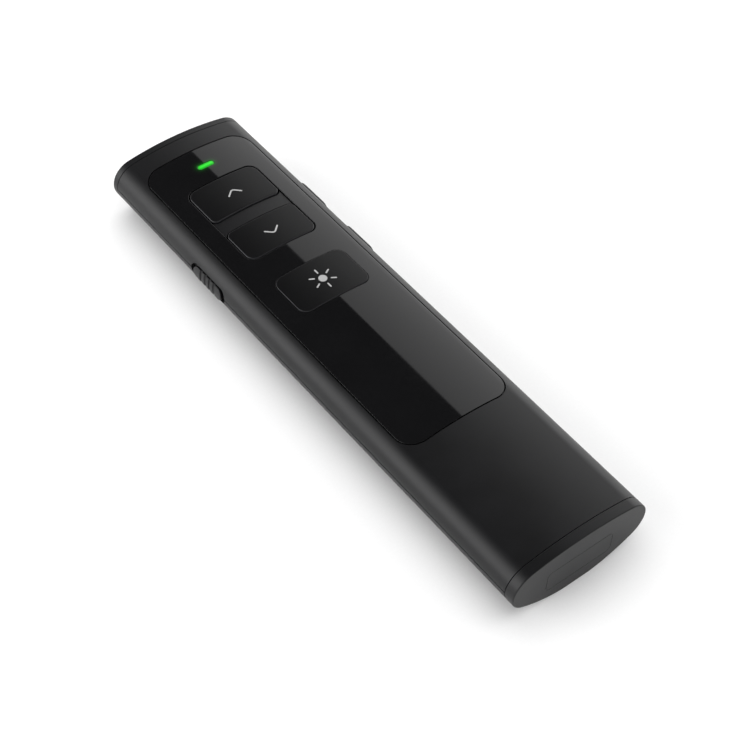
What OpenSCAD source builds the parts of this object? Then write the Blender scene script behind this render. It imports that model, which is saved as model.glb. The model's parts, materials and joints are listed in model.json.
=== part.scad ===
// Wireless presentation clicker: a slim oval hand remote with page keys, a laser key, a power slider
// and two volume keys, a receiver stored in its tail and one battery under a tilting door.
// X runs across the body, Y along it towards the laser, Z up from the flat strip of the underside.
// Every y below is counted from the tail's end face; the last lines centre the part on Y.

/* [Body] */
// Length over both end caps
body_len = 121.6; // [120:0.2:130]
// Width at the seam
body_w = 30; // [29.6:0.1:33]
// Height of the crown above the seam
crown_h = 5.65; // [5.6:0.05:6.4]
// Corner radius where the crown meets the seam
crown_r = 4.7; // [4.2:0.05:4.9]
// Depth of the belly below the seam, before its flat strip
belly_h = 7.45; // [7.3:0.05:8.2]
// Corner radius where the belly meets the seam
belly_r = 4.75; // [4.2:0.05:5.6]
// Width of the flat strip that the part lies on
foot_w = 6; // [5:0.1:6.6]
// Wall of both shells
wall = 1.5; // [1.3:0.05:1.6]
// Height of the lip that lines up the two shells
lip_h = 0.9; // [0.5:0.1:1.2]
// Thickness of that lip
lip_t = 0.6; // [0.4:0.05:0.75]

/* [End caps] */
// Visible thickness of the tail cap
rear_cap_t = 2.1; // [1.6:0.1:3]
// Visible thickness of the nose cap
front_cap_t = 1.5; // [1.2:0.1:2.2]
// Length of the spigot that each cap has inside the shells
spigot_l = 1.8; // [1:0.1:2.2]
// Wall of the spigots
spigot_t = 1; // [0.8:0.1:1.4]

/* [Face panel] */
// Thickness of the glossy panel
panel_t = 0.7; // [0.5:0.05:0.75]
// Width of the panel
panel_w = 23.75; // [22:0.05:25]
// Distance from the tail's end face to the panel
panel_back = 31.65; // [29:0.05:34]
// Distance from the nose to the panel
panel_front = 6; // [4.5:0.05:6.4]
// Corner radius of the panel
panel_r = 3.8; // [3:0.1:5]
// Gap round the panel in its recess
panel_gap = 0.15; // [0.1:0.01:0.2]

/* [Page keys] */
// Width of the two page keys
key_w = 15.6; // [15:0.1:16.4]
// Distance from the panel's front edge to the page keys' opening
page_front = 9.35; // [8.8:0.05:9.6]
// Length of the page up key
up_key_l = 9.65; // [9:0.05:10]
// Length of the page down key
down_key_l = 8.7; // [8.4:0.05:9.2]
// Length of the fixed bridge between them
bridge_l = 3.2; // [3:0.1:3.8]
// How far the bridge's top lies under the panel's
bridge_drop = 0.25; // [0.1:0.05:0.4]
// How far the page keys stand proud of the panel
page_proud = 0.05; // [0.05:0.05:0.8]
// Gap round each page key
key_gap = 0.25; // [0.1:0.01:0.28]
// Outer corner radius of the keys' openings
key_r = 2.2; // [1.8:0.1:3]
// Corner radius of the page keys beside the bridge
key_inner_r = 1.5; // [0.5:0.1:1.8]
// Travel of every key
key_travel = 0.3; // [0.2:0.05:0.4]

/* [Laser key] */
// Width of the laser key
laser_key_w = 15.8; // [15:0.1:16.4]
// Length of the laser key
laser_key_l = 10.2; // [9.6:0.1:10.6]
// Web of panel between the page keys' opening and the laser key's
laser_key_back = 6.25; // [5.8:0.05:6.6]
// Gap round the laser key
laser_gap = 0.1; // [0.08:0.01:0.15]
// How far the laser key stands proud of the panel
laser_proud = 0.15; // [0.05:0.05:0.5]

/* [Key mouldings] */
// Wall of the hollow keys
key_wall = 0.9; // [0.7:0.05:1.1]
// Skin of a key over its hollow, at its middle
key_top = 1.5; // [1.3:0.05:1.7]
// How far a key's flange reaches under the shell
flange_reach = 0.6; // [0.4:0.05:0.7]
// Thickness of a key's flange
flange_t = 0.6; // [0.5:0.05:0.7]
// Diameter of the post that presses the switch
post_d = 2.6; // [2.2:0.1:3]

/* [Status light] */
// Length of the light across the body
light_w = 3.5; // [3:0.1:4.5]
// Width of the light along the body
light_l = 1.05; // [0.8:0.05:1.4]
// Distance from the panel's front edge to the light's middle
light_front = 4.9; // [4.7:0.05:5.2]

/* [Side controls] */
// Distance from the nose to the middle of the slider's recess
slider_front = 33.3; // [32.6:0.1:34]
// Length of the slider's knob
slider_l = 9.2; // [8.4:0.1:9.4]
// Height of the slider's knob
slider_h = 3; // [2.6:0.05:3.1]
// How far the knob stands proud of the side
slider_proud = 0.25; // [0.1:0.05:0.5]
// Depth of the recess that the knob runs in
slider_depth = 0.8; // [0.7:0.05:0.9]
// Travel of the slider each way
slider_travel = 0.75; // [0.5:0.05:0.8]
// Spacing of the slider's grooves
groove_step = 1.4; // [1.1:0.05:1.7]
// Distance from the nose to the middle of the volume up key
side_key_front = 26.5; // [26:0.1:27]
// Spacing of the two volume keys
side_key_step = 15; // [14.2:0.1:15.4]
// Length of a volume key
side_key_l = 8.5; // [7.6:0.1:8.7]
// Height of a volume key
side_key_h = 4.2; // [3.6:0.05:4.4]
// How far a volume key stands proud of the side
side_key_proud = 0.5; // [0.4:0.05:0.8]

/* [Circuit board] */
// Distance from the body's side to the board's edge
board_side = 4.3; // [4.2:0.05:4.6]
// Thickness of the board
board_t = 0.8; // [0.6:0.05:1]
// Depth of the board's underside below the seam
board_drop = 0.45; // [0.3:0.05:0.5]
// Height of a switch body
switch_h = 1.5; // [1.2:0.05:1.6]
// Side of a face key's switch body
switch_w = 4.5; // [4:0.1:5.2]
// Diameter of a switch plunger
plunger_d = 2.2; // [1.8:0.1:2.4]
// How far a plunger stands out of its switch
plunger_out = 0.45; // [0.42:0.01:0.5]
// Running gap round a plunger
plunger_gap = 0.05; // [0.03:0.01:0.08]

/* [Screws] */
// Shank diameter of the screws
screw_d = 1.7; // [1.4:0.05:1.8]
// Head diameter of the screws
screw_head_d = 3; // [2.6:0.1:3.1]
// Head height of the screws
screw_head_h = 0.9; // [0.7:0.05:1]
// Diameter of the bosses for the case screws
case_boss_d = 3.8; // [3.4:0.1:3.9]
// Distance of the case screws from the middle plane
case_screw_x = 8; // [7.9:0.05:8.2]
// Diameter of the bosses for the board screws
board_boss_d = 3.2; // [2.8:0.1:3.3]
// Distance of the board screws from the middle plane
board_screw_x = 5.5; // [5.2:0.1:5.8]

/* [Laser] */
// Outer diameter of the laser barrel
laser_d = 5; // [4.6:0.1:5.4]
// Length of the laser barrel
laser_l = 6.8; // [6.4:0.1:7]
// Height of the laser's axis
laser_z = 6.35; // [6.2:0.05:6.4]
// Diameter of the light's way out
aperture_d = 3.2; // [2.6:0.1:3.6]
// Diameter of the window behind it
window_d = 4.4; // [4.1:0.1:4.5]
// Thickness of the window
window_t = 0.8; // [0.6:0.05:0.9]

/* [Battery] */
// Diameter of the battery
battery_d = 10.5; // [10.3:0.05:10.6]
// Length of the battery over its button
battery_l = 44.5; // [43.6:0.1:44.8]
// Diameter of the battery's button
button_d = 3.8; // [3.2:0.1:4.2]
// Height of the battery's button
button_h = 1; // [0.9:0.05:1.2]
// Clearance round the battery
battery_gap = 0.15; // [0.1:0.01:0.16]
// Thickness of the door under the battery
door_skin = 1; // [0.9:0.02:1.04]
// Length of the spring's space behind the battery
spring_l = 2.6; // [2.3:0.1:2.8]
// Outer diameter of the battery spring at its plate
spring_d = 7; // [6.4:0.1:7.4]
// Wire of the battery spring
spring_wire = 0.5; // [0.4:0.05:0.55]
// Turns of the battery spring
spring_turns = 2.5; // [2:0.5:2.5]
// Thickness of the sheet metal contacts
contact_t = 0.3; // [0.2:0.05:0.35]

/* [Battery door] */
// Width of the door
door_w = 20.4; // [20.2:0.1:20.8]
// Gap round the door
door_gap = 0.15; // [0.1:0.01:0.2]
// Corner radius of the door's front edge
door_r = 2.5; // [1.5:0.1:4]
// How far the door's tabs reach behind its edge
tab_reach = 1.1; // [0.8:0.1:1.2]

/* [Receiver] */
// Width of the receiver's cap
receiver_w = 14.6; // [14:0.1:15]
// Height of the receiver's cap
receiver_h = 4.9; // [4.85:0.05:5.1]
// Length of the receiver's cap
receiver_cap_l = 6.2; // [5:0.1:6.5]
// Height of the receiver's axis
receiver_z = 5.6; // [5.5:0.05:5.8]
// Width of the plug's steel shell
plug_w = 12; // [11.9:0.05:12.1]
// Height of the plug's steel shell
plug_h = 4.5; // [4.4:0.05:4.6]
// Length of the plug's steel shell
plug_l = 12.2; // [11.8:0.05:12.3]
// Sheet thickness of the plug's shell
plug_t = 0.3; // [0.25:0.05:0.35]
// Running gap round the receiver in its bay
bay_gap = 0.1; // [0.05:0.01:0.15]
// Wall of the receiver's bay
bay_wall = 0.7; // [0.6:0.05:0.8]

/* [Hidden] */
$fn = 96;
// Overlap that joins two solids, and overshoot of a cut past what it cuts
eps = 0.01;
over = 1;

// Arc radii of the oval: each half is one broad arc over two corner arcs that it meets tangentially
function broad_r(h, r) = (pow(body_w / 2 - r, 2) + h * h - r * r) / (2 * (h - r));
crown_big = broad_r(crown_h, crown_r);
belly_big = broad_r(belly_h, belly_r);
flat_cut = belly_big - sqrt(belly_big * belly_big - foot_w * foot_w / 4);
seam_z = belly_h - flat_cut;
body_h = seam_z + crown_h;
// Height of the crown's arc at x, and of the belly's, at a depth under the skin
function crown_z(x, inset) = body_h - crown_big + sqrt(pow(crown_big - inset, 2) - x * x);
function belly_z(x, inset) = max(inset, belly_big - flat_cut - sqrt(pow(belly_big - inset, 2) - x * x));
// Half width of the corner arc inside the skin, at a height from the seam
function corner_x(dz, r, inset) = body_w / 2 - r + sqrt(pow(r - inset, 2) - dz * dz);

// Clearance of the lip in the upper shell
lip_gap = 0.08;

// Stations along the body, from the tail's end face
shell_y0 = rear_cap_t;
shell_y1 = body_len - front_cap_t;
panel_y0 = panel_back;
panel_y1 = body_len - panel_front;
page_y1 = panel_y1 - page_front;
up_y1 = page_y1 - key_gap;
up_y0 = up_y1 - up_key_l;
down_y1 = up_y0 - 2 * key_gap - bridge_l;
down_y0 = down_y1 - down_key_l;
page_y0 = down_y0 - key_gap;
laser_y1 = page_y0 - laser_key_back - laser_gap;
laser_y0 = laser_y1 - laser_key_l;
up_y = (up_y0 + up_y1) / 2;
down_y = (down_y0 + down_y1) / 2;
laser_y = (laser_y0 + laser_y1) / 2;
light_y = panel_y1 - light_front;
slider_y = body_len - slider_front;
side_keys_y = [body_len - side_key_front, body_len - side_key_front - side_key_step];

// Heights of the face keys and of the board under them
fit = 0.1;
key_hollow_r = 0.6;
open_w = key_w + 2 * key_gap;
laser_open_w = laser_key_w + 2 * laser_gap;
flange_w = max(key_w, laser_key_w) + 2 * flange_reach;
flange_top = crown_z(flange_w / 2, wall) - fit;
flange_z = flange_top - flange_t;
board_z = seam_z - board_drop;
board_top = board_z + board_t;
switch_top = board_top + switch_h;
plunger_top = switch_top + plunger_out;

// Receiver's bay in the tail
bay_step = receiver_cap_l + fit;
bay_end = receiver_cap_l + plug_l + 2 * fit;
bay_out = bay_end + bay_wall;
receiver_r = 0.9;
plug_r = 0.5;
plug_inner_r = 0.25;
plug_windows_x = [-2.9, 2.9];
plug_window_w = 2;
plug_window_l = 2.5;
plug_window_front = 5.1;
tongue_back = 0.6;
tongue_z = 0.05;
pad_w = 1;
pad_t = 0.2;
pads_x = [-3.5, -1.1, 1.1, 3.5];
pads_back = 3;
pads_front = 1.4;

// Battery, its contacts and its door
contact_y = bay_out + fit;
battery_y0 = contact_y + contact_t + spring_l;
battery_y1 = battery_y0 + battery_l;
battery_z = door_skin + battery_gap + battery_d / 2;
bay_r = battery_d / 2 + battery_gap;
door_back = 1.9;
door_front = 1.4;
door_back_r = 0.6;
door_y0 = contact_y + door_back;
door_y1 = battery_y1 + contact_t + door_front;
tab_x = 7;
tab_w = 2;
tab_t = 0.7;
tab_root = 1.5;
tab_rise = 0.3;
tab_z = belly_z(tab_x + tab_w / 2, wall) + tab_rise;
nail_back = 3;
nail_r = 5;
nail_depth = 0.4;
nail_w = 7;
rib_t = 0.8;
rib_y = battery_y1 + contact_t + fit;
rib_y1 = door_y1 + door_gap + rib_t;
rib_w = 9;
rib_foot = 1.2;
contact_w = 7;
contact_h = 6;
lug_l = 1.6;

// Case screws stand in shelves beside the battery, and the minus strip runs over the shelves
case_screw_back = 4.6;
case_screw_front = 5;
case_screws_y = [battery_y0 + case_screw_back, battery_y1 - case_screw_front];
shelf_gap = 0.15;
shelf_l = 4.4;
shelf_t = 1;
head_gap = 0.2;
case_head_z = belly_z(case_screw_x + screw_head_d / 2, wall) + head_gap + screw_head_h;
shelf_top = case_head_z + shelf_t;
case_screw_l = 5.4;
hole_spare = 0.4;
recess_w = 0.4;
strip_x = bay_r + battery_gap;
strip_z = shelf_top + shelf_gap;
case_screws = [for (x = [-1, 1], y = case_screws_y) [x * case_screw_x, y]];

// Board and its screws
board_w = body_w - 2 * board_side;
board_back = 2.2;
board_front = 0.6;
board_back_r = 0.8;
board_front_r = 3;
barrel_back = 0.2;
board_y0 = battery_y1 + board_back;
laser_y_front = body_len - front_cap_t - barrel_back;
laser_y_back = laser_y_front - laser_l;
board_y1 = laser_y_back - board_front;
boss_gap = 0.8;
board_screws_y = [(page_y0 + laser_y1) / 2, page_y1 + flange_reach + board_boss_d / 2 + boss_gap];
board_screws = [for (x = [-1, 1], y = board_screws_y) [x * board_screw_x, y]];
board_screw_l = 2.6;
thread_gap = 0.04;
switch_floor = 0.25;
chip_w = 5;
chip_t = 0.9;
chip_front = 1.5;
crystal_w = 3.2;
crystal_l = 2.5;
crystal_t = 0.8;
crystal_x = -4.4;
crystal_front = 2.6;

// Status lamp, and the collar that keeps its light pipe under the shell
led_w = 1.6;
led_l = 0.8;
led_h = 0.6;
pipe_gap = 0.3;
collar = 0.6;
collar_t = 0.9;

// Laser barrel, its stepped bore, the lens in front and the diode behind
seat_l = 2.2;
seat_wall = 0.9;
cradle_wall = 0.8;
cradle_back = 0.6;
cradle_l = 1.2;
bore_d = 2.4;
step_d = 3.6;
diode_bore = 2.6;
lens_bore = 1.4;
lens_d = 3.5;
lens_t = 1.2;
lens_r = 4.1;
can_d = 2.6;
flange_d = 3.5;
flange_l = 0.8;
can_l = 1.4;
lead_d = 0.36;
lead_step = 0.8;
lead_l = 1.2;
lead_drop = 0.2;

// Power slider and its switch
slider_gap = 0.15;
recess_l = slider_l + 2 * (slider_travel + slider_gap);
recess_h = slider_h + 2 * slider_gap;
stem_l = 3.6;
stem_h = 1.5;
slot_l = stem_l + 2 * (slider_travel + slider_gap);
slot_h = stem_h + 2 * slider_gap;
keeper_l = 7.6;
keeper_h = 3.2;
keeper_t = 0.6;
keeper_r = 0.5;
keeper_gap = 0.2;
keeper_x = corner_x(keeper_h / 2, crown_r, wall) - keeper_gap;
slot_r = 0.4;
stem_r = 0.3;
groove_w = 0.5;
grooves = 4;
lever_w = 1.2;
lever_h = 0.7;
lever_x = keeper_x - keeper_t - keeper_gap;
lever_in = 0.8;
fork_w = 0.8;
fork_l = 1;
fork_r = 0.2;
slide_switch_w = 2.7;
slide_switch_l = 6.7;
slide_switch_h = 1.4;
slide_switch_in = 0.3;
slide_switch_x = board_w / 2 - slide_switch_in;
lever_z = board_z - slide_switch_h / 2;

// Volume keys and their switches
side_gap = 0.15;
side_r = 1.4;
side_flange = 0.5;
side_flange_h = side_key_h + 2 * side_flange;
side_flange_x = corner_x(side_flange_h / 2, crown_r, wall) - fit;
side_flange_t = 0.5;
side_key_z = seam_z;
side_switch_in = 0.4;
side_switch_x = board_w / 2 - side_switch_in;
side_switch_w = 2.4;
side_switch_l = 4.7;
side_bore = 1.2;
side_plunger_d = 1.2;
side_plunger_out = 0.4;
side_plunger_x = side_switch_x + side_plunger_out;
side_plunger_z = board_top + switch_h / 2 + plunger_gap;
side_post_l = 2.4;
side_post_h = 1.2;
side_post_r = 0.3;

shell_black = "#26262a";
panel_black = "#0c0c0e";
key_black = "#1c1c1f";
steel = "#c4c6c8";
gold = "#d8b25a";
board_green = "#1f5a3a";
part_black = "#222226";

// ---- Outlines and ways to place them ----

// Half of the oval above y = 0: a sector of the broad arc between two corner discs
module oval_half(h, r, inset) {
    reach = body_w / 2 - r;
    big = broad_r(h, r);
    rise = h + over;
    spread = reach * (rise + big - h) / (big - h);
    intersection() {
        translate([-body_w, 0]) square([2 * body_w, rise]);
        union() {
            intersection() {
                translate([0, h - big]) circle(r = big - inset, $fn = 720);
                polygon([[0, h - big], [spread, rise], [-spread, rise]]);
            }
            for (side = [-1, 1]) translate([side * reach, 0]) circle(r = r - inset);
        }
    }
}

// Upper half of the body's section, inset from the skin
module crown(inset = 0) {
    translate([0, seam_z]) oval_half(crown_h, crown_r, inset);
}

// Lower half, with the flat strip
module belly(inset = 0) {
    intersection() {
        translate([0, seam_z]) mirror([0, 1]) oval_half(belly_h, belly_r, inset);
        translate([-body_w, inset]) square([2 * body_w, body_h]);
    }
}

module oval(inset = 0) {
    crown(inset);
    belly(inset);
}

// A section drawn in X and Z, run along Y from y0 to y1
module run(y0, y1) {
    translate([0, y1, 0]) rotate([90, 0, 0]) linear_extrude(y1 - y0) children();
}

// A plan drawn in X and Y, raised from z0 to z1
module raise(z0, z1) {
    translate([0, 0, z0]) linear_extrude(z1 - z0) children();
}

// An outline drawn in Y and Z, run along X from x0 to x1
module across(x0, x1) {
    translate([x0, 0, 0]) rotate([90, 0, 90]) linear_extrude(x1 - x0) children();
}

// Rectangle centred on x = 0 from y0 to y1, with its own corner radius at each end
module tile(w, y0, y1, r0, r1) {
    for (side = [-1, 1]) {
        translate([side * (w / 2 - r0), y0 + r0]) circle(r = r0);
        translate([side * (w / 2 - r1), y1 - r1]) circle(r = r1);
    }
    translate([r0 - w / 2, y0]) square([w - 2 * r0, r0]);
    translate([r1 - w / 2, y1 - r1]) square([w - 2 * r1, r1]);
    if (y1 - y0 > r0 + r1 + eps) translate([-w / 2, y0 + r0]) square([w, y1 - y0 - r0 - r1]);
}

// Rounded rectangle centred on the origin
module pill(w, h, r) {
    translate([0, -h / 2]) tile(w, 0, h, r, r);
}

module block(x0, x1, y0, y1, z0, z1) {
    translate([x0, y0, z0]) cube([x1 - x0, y1 - y0, z1 - z0]);
}

module post(x, y, z0, z1, d) {
    translate([x, y, z0]) cylinder(d = d, h = z1 - z0);
}

// ---- Shapes that two pieces share ----

// Windows of the side controls in a wall: what they take out of both shells
module side_windows() {
    // Slider's recess and the slot for its stem
    translate([0, slider_y, seam_z]) {
        intersection() {
            across(-body_w, 0) pill(recess_l, recess_h, recess_h / 2);
            translate([0, -recess_l, -seam_z]) run(0, 2 * recess_l) difference() {
                oval(-over);
                oval(slider_depth);
            }
        }
        across(-body_w, -body_w / 4) pill(slot_l, slot_h, slot_r);
    }
    for (y = side_keys_y) translate([0, y, side_key_z])
        across(body_w / 4, body_w)
            pill(side_key_l + 2 * side_gap, side_key_h + 2 * side_gap, side_r + side_gap);
}

// Opening under the battery, and the door that fills it when gap is 0
module door_plan(gap) {
    tile(door_w + 2 * gap, door_y0 - gap, door_y1 + gap, door_back_r + gap,
         door_r + gap);
}

// Spigot that a cap pushes into the shells
module spigot(y0, y1) {
    run(y0, y1) difference() {
        oval(wall + fit);
        oval(wall + fit + spigot_t);
    }
}

// Case screw or board screw along +Z, its head's top face at z = 0
module screw(l) {
    difference() {
        translate([0, 0, -screw_head_h]) cylinder(d = screw_head_d, h = screw_head_h);
        for (turn = [0, 90]) rotate([0, 0, turn])
            block(-screw_d / 2, screw_d / 2, -recess_w / 2, recess_w / 2,
                  -screw_head_h - eps, -screw_head_h / 2);
    }
    cylinder(d = screw_d, h = l);
}

// ---- Casing ----

module upper_shell() color(shell_black) {
    difference() {
        union() {
            run(shell_y0, shell_y1) difference() {
                crown();
                crown(wall);
            }
            intersection() {
                run(shell_y0, shell_y1) oval(wall / 2);
                union() {
                    for (p = case_screws) post(p[0], p[1], shelf_top, body_h, case_boss_d);
                    for (p = board_screws) post(p[0], p[1], board_top, body_h, board_boss_d);
                }
            }
        }
        // Recess of the face panel
        intersection() {
            run(panel_y0 - over, panel_y1 + over) difference() {
                crown(-over);
                crown(panel_t);
            }
            raise(seam_z + over, body_h + over)
                tile(panel_w + 2 * panel_gap, panel_y0 - panel_gap, panel_y1 + panel_gap,
                     panel_r + panel_gap, panel_r + panel_gap);
        }
        // Windows of the page keys, the laser key and the light
        raise(seam_z + over, body_h + over) {
            tile(open_w, up_y0 - key_gap, page_y1, key_inner_r, key_r);
            tile(open_w, page_y0, down_y1 + key_gap, key_r, key_inner_r);
            tile(laser_open_w, laser_y0 - laser_gap, laser_y1 + laser_gap, key_r, key_r);
            translate([0, light_y]) pill(light_w + 2 * fit, light_l + 2 * fit, light_l / 2);
        }
        // Groove over the battery and the step for the lower shell's lip
        run(contact_y, battery_y1) translate([0, battery_z]) circle(r = bay_r);
        run(shell_y0 - over, shell_y1 + over) intersection() {
            difference() {
                crown(wall - lip_t - lip_gap);
                crown(wall + over);
            }
            translate([-body_w, seam_z - over]) square([2 * body_w, over + lip_h + fit]);
        }
        side_windows();
        for (p = case_screws)
            post(p[0], p[1], shelf_top - over, case_head_z + case_screw_l + hole_spare,
                 screw_d + 2 * thread_gap);
        for (p = board_screws)
            post(p[0], p[1], board_top - over, board_z + board_screw_l + hole_spare,
                 screw_d + 2 * thread_gap);
    }
    // Bridge between the page keys
    intersection() {
        run(down_y1, up_y0) difference() {
            crown(bridge_drop);
            crown(wall - eps);
        }
        block(-open_w / 2, open_w / 2, down_y1 + key_gap, up_y0 - key_gap, seam_z + over, body_h);
    }
}

module lower_shell() color(shell_black) {
    difference() {
        union() {
            run(shell_y0, shell_y1) difference() {
                belly();
                belly(wall);
            }
            // Lip inside the upper shell
            run(shell_y0 + spigot_l + fit, shell_y1 - spigot_l - fit) intersection() {
                difference() {
                    oval(wall - lip_t);
                    oval(wall);
                }
                translate([-body_w, seam_z - over]) square([2 * body_w, over + lip_h]);
            }
        }
        raise(-over, seam_z) door_plan(door_gap);
        side_windows();
    }
    // Shelves of the case screws, clear of the door under them
    difference() {
        intersection() {
            run(shell_y0, shell_y1) oval(wall + shelf_gap);
            for (p = case_screws)
                block(p[0] > 0 ? bay_r + battery_gap : -body_w / 2,
                      p[0] > 0 ? body_w / 2 : -bay_r - battery_gap,
                      p[1] - shelf_l / 2, p[1] + shelf_l / 2, 0, shelf_top);
        }
        for (p = case_screws) {
            post(p[0], p[1], 0, shelf_top + over, screw_d + 2 * fit);
            post(p[0], p[1], 0, case_head_z, screw_head_d + 2 * fit);
        }
        run(contact_y, battery_y1) translate([0, battery_z]) circle(r = bay_r);
    }
    for (p = case_screws) shelf_root(p);
    // Rib behind the plus contact
    intersection() {
        run(shell_y0, shell_y1) oval(wall / 2);
        block(-rib_w / 2, rib_w / 2, rib_y1 - rib_t, rib_y1, 0, board_z - contact_t - fit);
    }
    block(-rib_w / 2, rib_w / 2, rib_y, rib_y1, wall + rib_foot, board_z - contact_t - fit);
    laser_cradle();
}

// Foot that carries a shelf on the wall beside the door's opening
module shelf_root(p) {
    side = p[0] > 0 ? 1 : -1;
    intersection() {
        run(shell_y0, shell_y1) oval(wall / 2);
        block(side > 0 ? door_w / 2 + door_gap : -body_w / 2,
              side > 0 ? body_w / 2 : -door_w / 2 - door_gap,
              p[1] - shelf_l / 2, p[1] + shelf_l / 2, 0, shelf_top);
    }
}

// Saddle under the tail end of the laser barrel
module laser_cradle() {
    difference() {
        intersection() {
            run(shell_y0, shell_y1) oval(wall / 2);
            block(-laser_d / 2 - cradle_wall, laser_d / 2 + cradle_wall,
                  laser_y_back + cradle_back, laser_y_back + cradle_back + cradle_l, 0, laser_z);
        }
        run(laser_y_back, laser_y_front) translate([0, laser_z]) circle(d = laser_d + fit);
    }
}

module face_panel() color(panel_black)
    difference() {
        intersection() {
            run(panel_y0, panel_y1) difference() {
                crown();
                crown(panel_t);
            }
            raise(seam_z + over, body_h + over) tile(panel_w, panel_y0, panel_y1, panel_r, panel_r);
        }
        raise(seam_z, body_h + over) {
            tile(open_w, page_y0, page_y1, key_r, key_r);
            tile(laser_open_w, laser_y0 - laser_gap, laser_y1 + laser_gap, key_r, key_r);
            translate([0, light_y]) pill(light_w + 2 * fit, light_l + 2 * fit, light_l / 2);
        }
    }

module front_cap() color(shell_black)
    difference() {
        union() {
            run(shell_y1, body_len) oval();
            spigot(shell_y1 - spigot_l, shell_y1);
            run(shell_y1 - seat_l, shell_y1) translate([0, laser_z]) circle(d = laser_d + 2 * seat_wall);
        }
        run(shell_y1 - seat_l - over, laser_y_front) translate([0, laser_z]) circle(d = laser_d + fit);
        run(laser_y_front - eps, laser_y_front + window_t + fit) translate([0, laser_z])
            circle(d = window_d + fit);
        run(laser_y_front, body_len + over) translate([0, laser_z]) circle(d = aperture_d);
    }

module rear_cap() color(shell_black)
    difference() {
        union() {
            run(0, shell_y0) oval();
            spigot(shell_y0, shell_y0 + spigot_l);
            // Bay of the receiver, trimmed by the inside of the shells
            intersection() {
                run(shell_y0 - eps, bay_out) oval(wall + 2 * fit);
                translate([0, 0, receiver_z]) union() {
                    run(shell_y0 - eps, bay_step + bay_wall)
                        pill(receiver_w + 2 * (bay_gap + bay_wall), receiver_h + 2 * (bay_gap + bay_wall),
                             receiver_r);
                    run(shell_y0, bay_out)
                        pill(plug_w + 2 * (bay_gap + bay_wall), plug_h + 2 * (bay_gap + bay_wall),
                             plug_r + bay_gap);
                }
            }
        }
        translate([0, 0, receiver_z]) {
            run(-over, bay_step)
                pill(receiver_w + 2 * bay_gap, receiver_h + 2 * bay_gap, receiver_r + bay_gap);
            run(0, bay_end) pill(plug_w + 2 * bay_gap, plug_h + 2 * bay_gap, plug_inner_r);
        }
    }

// Curved plate with a groove under the battery and two tabs that it tilts about
module battery_door() color(shell_black) {
    difference() {
        intersection() {
            run(door_y0, door_y1) difference() {
                belly();
                belly(wall);
            }
            raise(-over, seam_z) door_plan(0);
        }
        run(door_y0 - over, door_y1 + over) translate([0, battery_z]) circle(r = bay_r);
        // Hollow for a fingernail by the front edge
        translate([0, door_y1 - nail_back, nail_depth - nail_r]) rotate([0, 90, 0])
            cylinder(r = nail_r, h = nail_w, center = true);
    }
    for (side = [-1, 1]) {
        x0 = side * tab_x - tab_w / 2;
        intersection() {
            run(door_y0, door_y0 + tab_root) oval(wall / 2);
            block(x0, x0 + tab_w, door_y0, door_y0 + tab_root, 0, tab_z + tab_t);
        }
        block(x0, x0 + tab_w, door_y0 - tab_reach, door_y0 + tab_root, tab_z, tab_z + tab_t);
    }
}

// ---- Face keys ----

// Hollow key with a flange under the shell and a post on its switch
module face_key(w, y0, y1, r0, r1, proud) color(key_black) {
    mid = (y0 + y1) / 2;
    hollow_top = crown_z(0, 0) + proud - key_top;
    difference() {
        union() {
            intersection() {
                run(y0, y1) crown(-proud);
                raise(flange_z, body_h + 2 * proud) tile(w, y0, y1, r0, r1);
            }
            raise(flange_z, flange_top)
                tile(w + 2 * flange_reach, y0 - flange_reach, y1 + flange_reach, r0, r1);
        }
        raise(flange_z - over, hollow_top)
            tile(w - 2 * key_wall, y0 + key_wall, y1 - key_wall, key_hollow_r, key_hollow_r);
    }
    post(0, mid, plunger_top, hollow_top + eps, post_d);
}

module page_up_key() face_key(key_w, up_y0, up_y1, key_inner_r - key_gap, key_r - key_gap, page_proud);
module page_down_key()
    face_key(key_w, down_y0, down_y1, key_r - key_gap, key_inner_r - key_gap, page_proud);
module laser_key()
    face_key(laser_key_w, laser_y0, laser_y1, key_r - laser_gap, key_r - laser_gap, laser_proud);

// ---- Side controls ----

// Volume key along +X with its flange inside the wall and a short post on the switch
module side_key(y) color(key_black)
    translate([0, y, side_key_z]) {
        intersection() {
            across(side_flange_x - eps, body_w) pill(side_key_l, side_key_h, side_r);
            translate([0, -side_key_l, -side_key_z]) run(0, 2 * side_key_l) oval(-side_key_proud);
        }
        across(side_flange_x - side_flange_t, side_flange_x)
            pill(side_key_l + 2 * side_flange, side_flange_h, side_r);
        translate([0, 0, side_plunger_z - side_key_z])
            across(side_plunger_x, side_flange_x - side_flange_t + eps)
                pill(side_post_l, side_post_h, side_post_r);
    }

module volume_up_key() side_key(side_keys_y[0]);
module volume_down_key() side_key(side_keys_y[1]);

// Ribbed knob in its recess, with a stem, a keeper inside the wall and a fork on the switch's lever
module power_slider() color(key_black)
    translate([0, slider_y, seam_z]) {
        difference() {
            intersection() {
                across(-body_w, 0) pill(slider_l, slider_h, slider_h / 2);
                translate([0, -slider_l, -seam_z]) run(0, 2 * slider_l) difference() {
                    oval(-slider_proud);
                    oval(slider_depth - slider_gap);
                }
            }
            for (i = [0:grooves - 1])
                translate([-body_w / 2 - slider_proud, (i - (grooves - 1) / 2) * groove_step, 0])
                    cylinder(d = groove_w, h = 2 * slider_h, center = true);
        }
        across(-body_w / 2 + slider_depth - 3 * slider_gap, -keeper_x + eps) pill(stem_l, stem_h, stem_r);
        across(-keeper_x, -keeper_x + keeper_t) pill(keeper_l, keeper_h, keeper_r);
        for (side = [-1, 1])
            translate([0, side * (lever_w / 2 + fit + fork_w / 2), lever_z - seam_z])
                across(-keeper_x + keeper_t - eps, -lever_x + fork_l) pill(fork_w, lever_h, fork_r);
    }

// ---- Electronics ----

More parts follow.
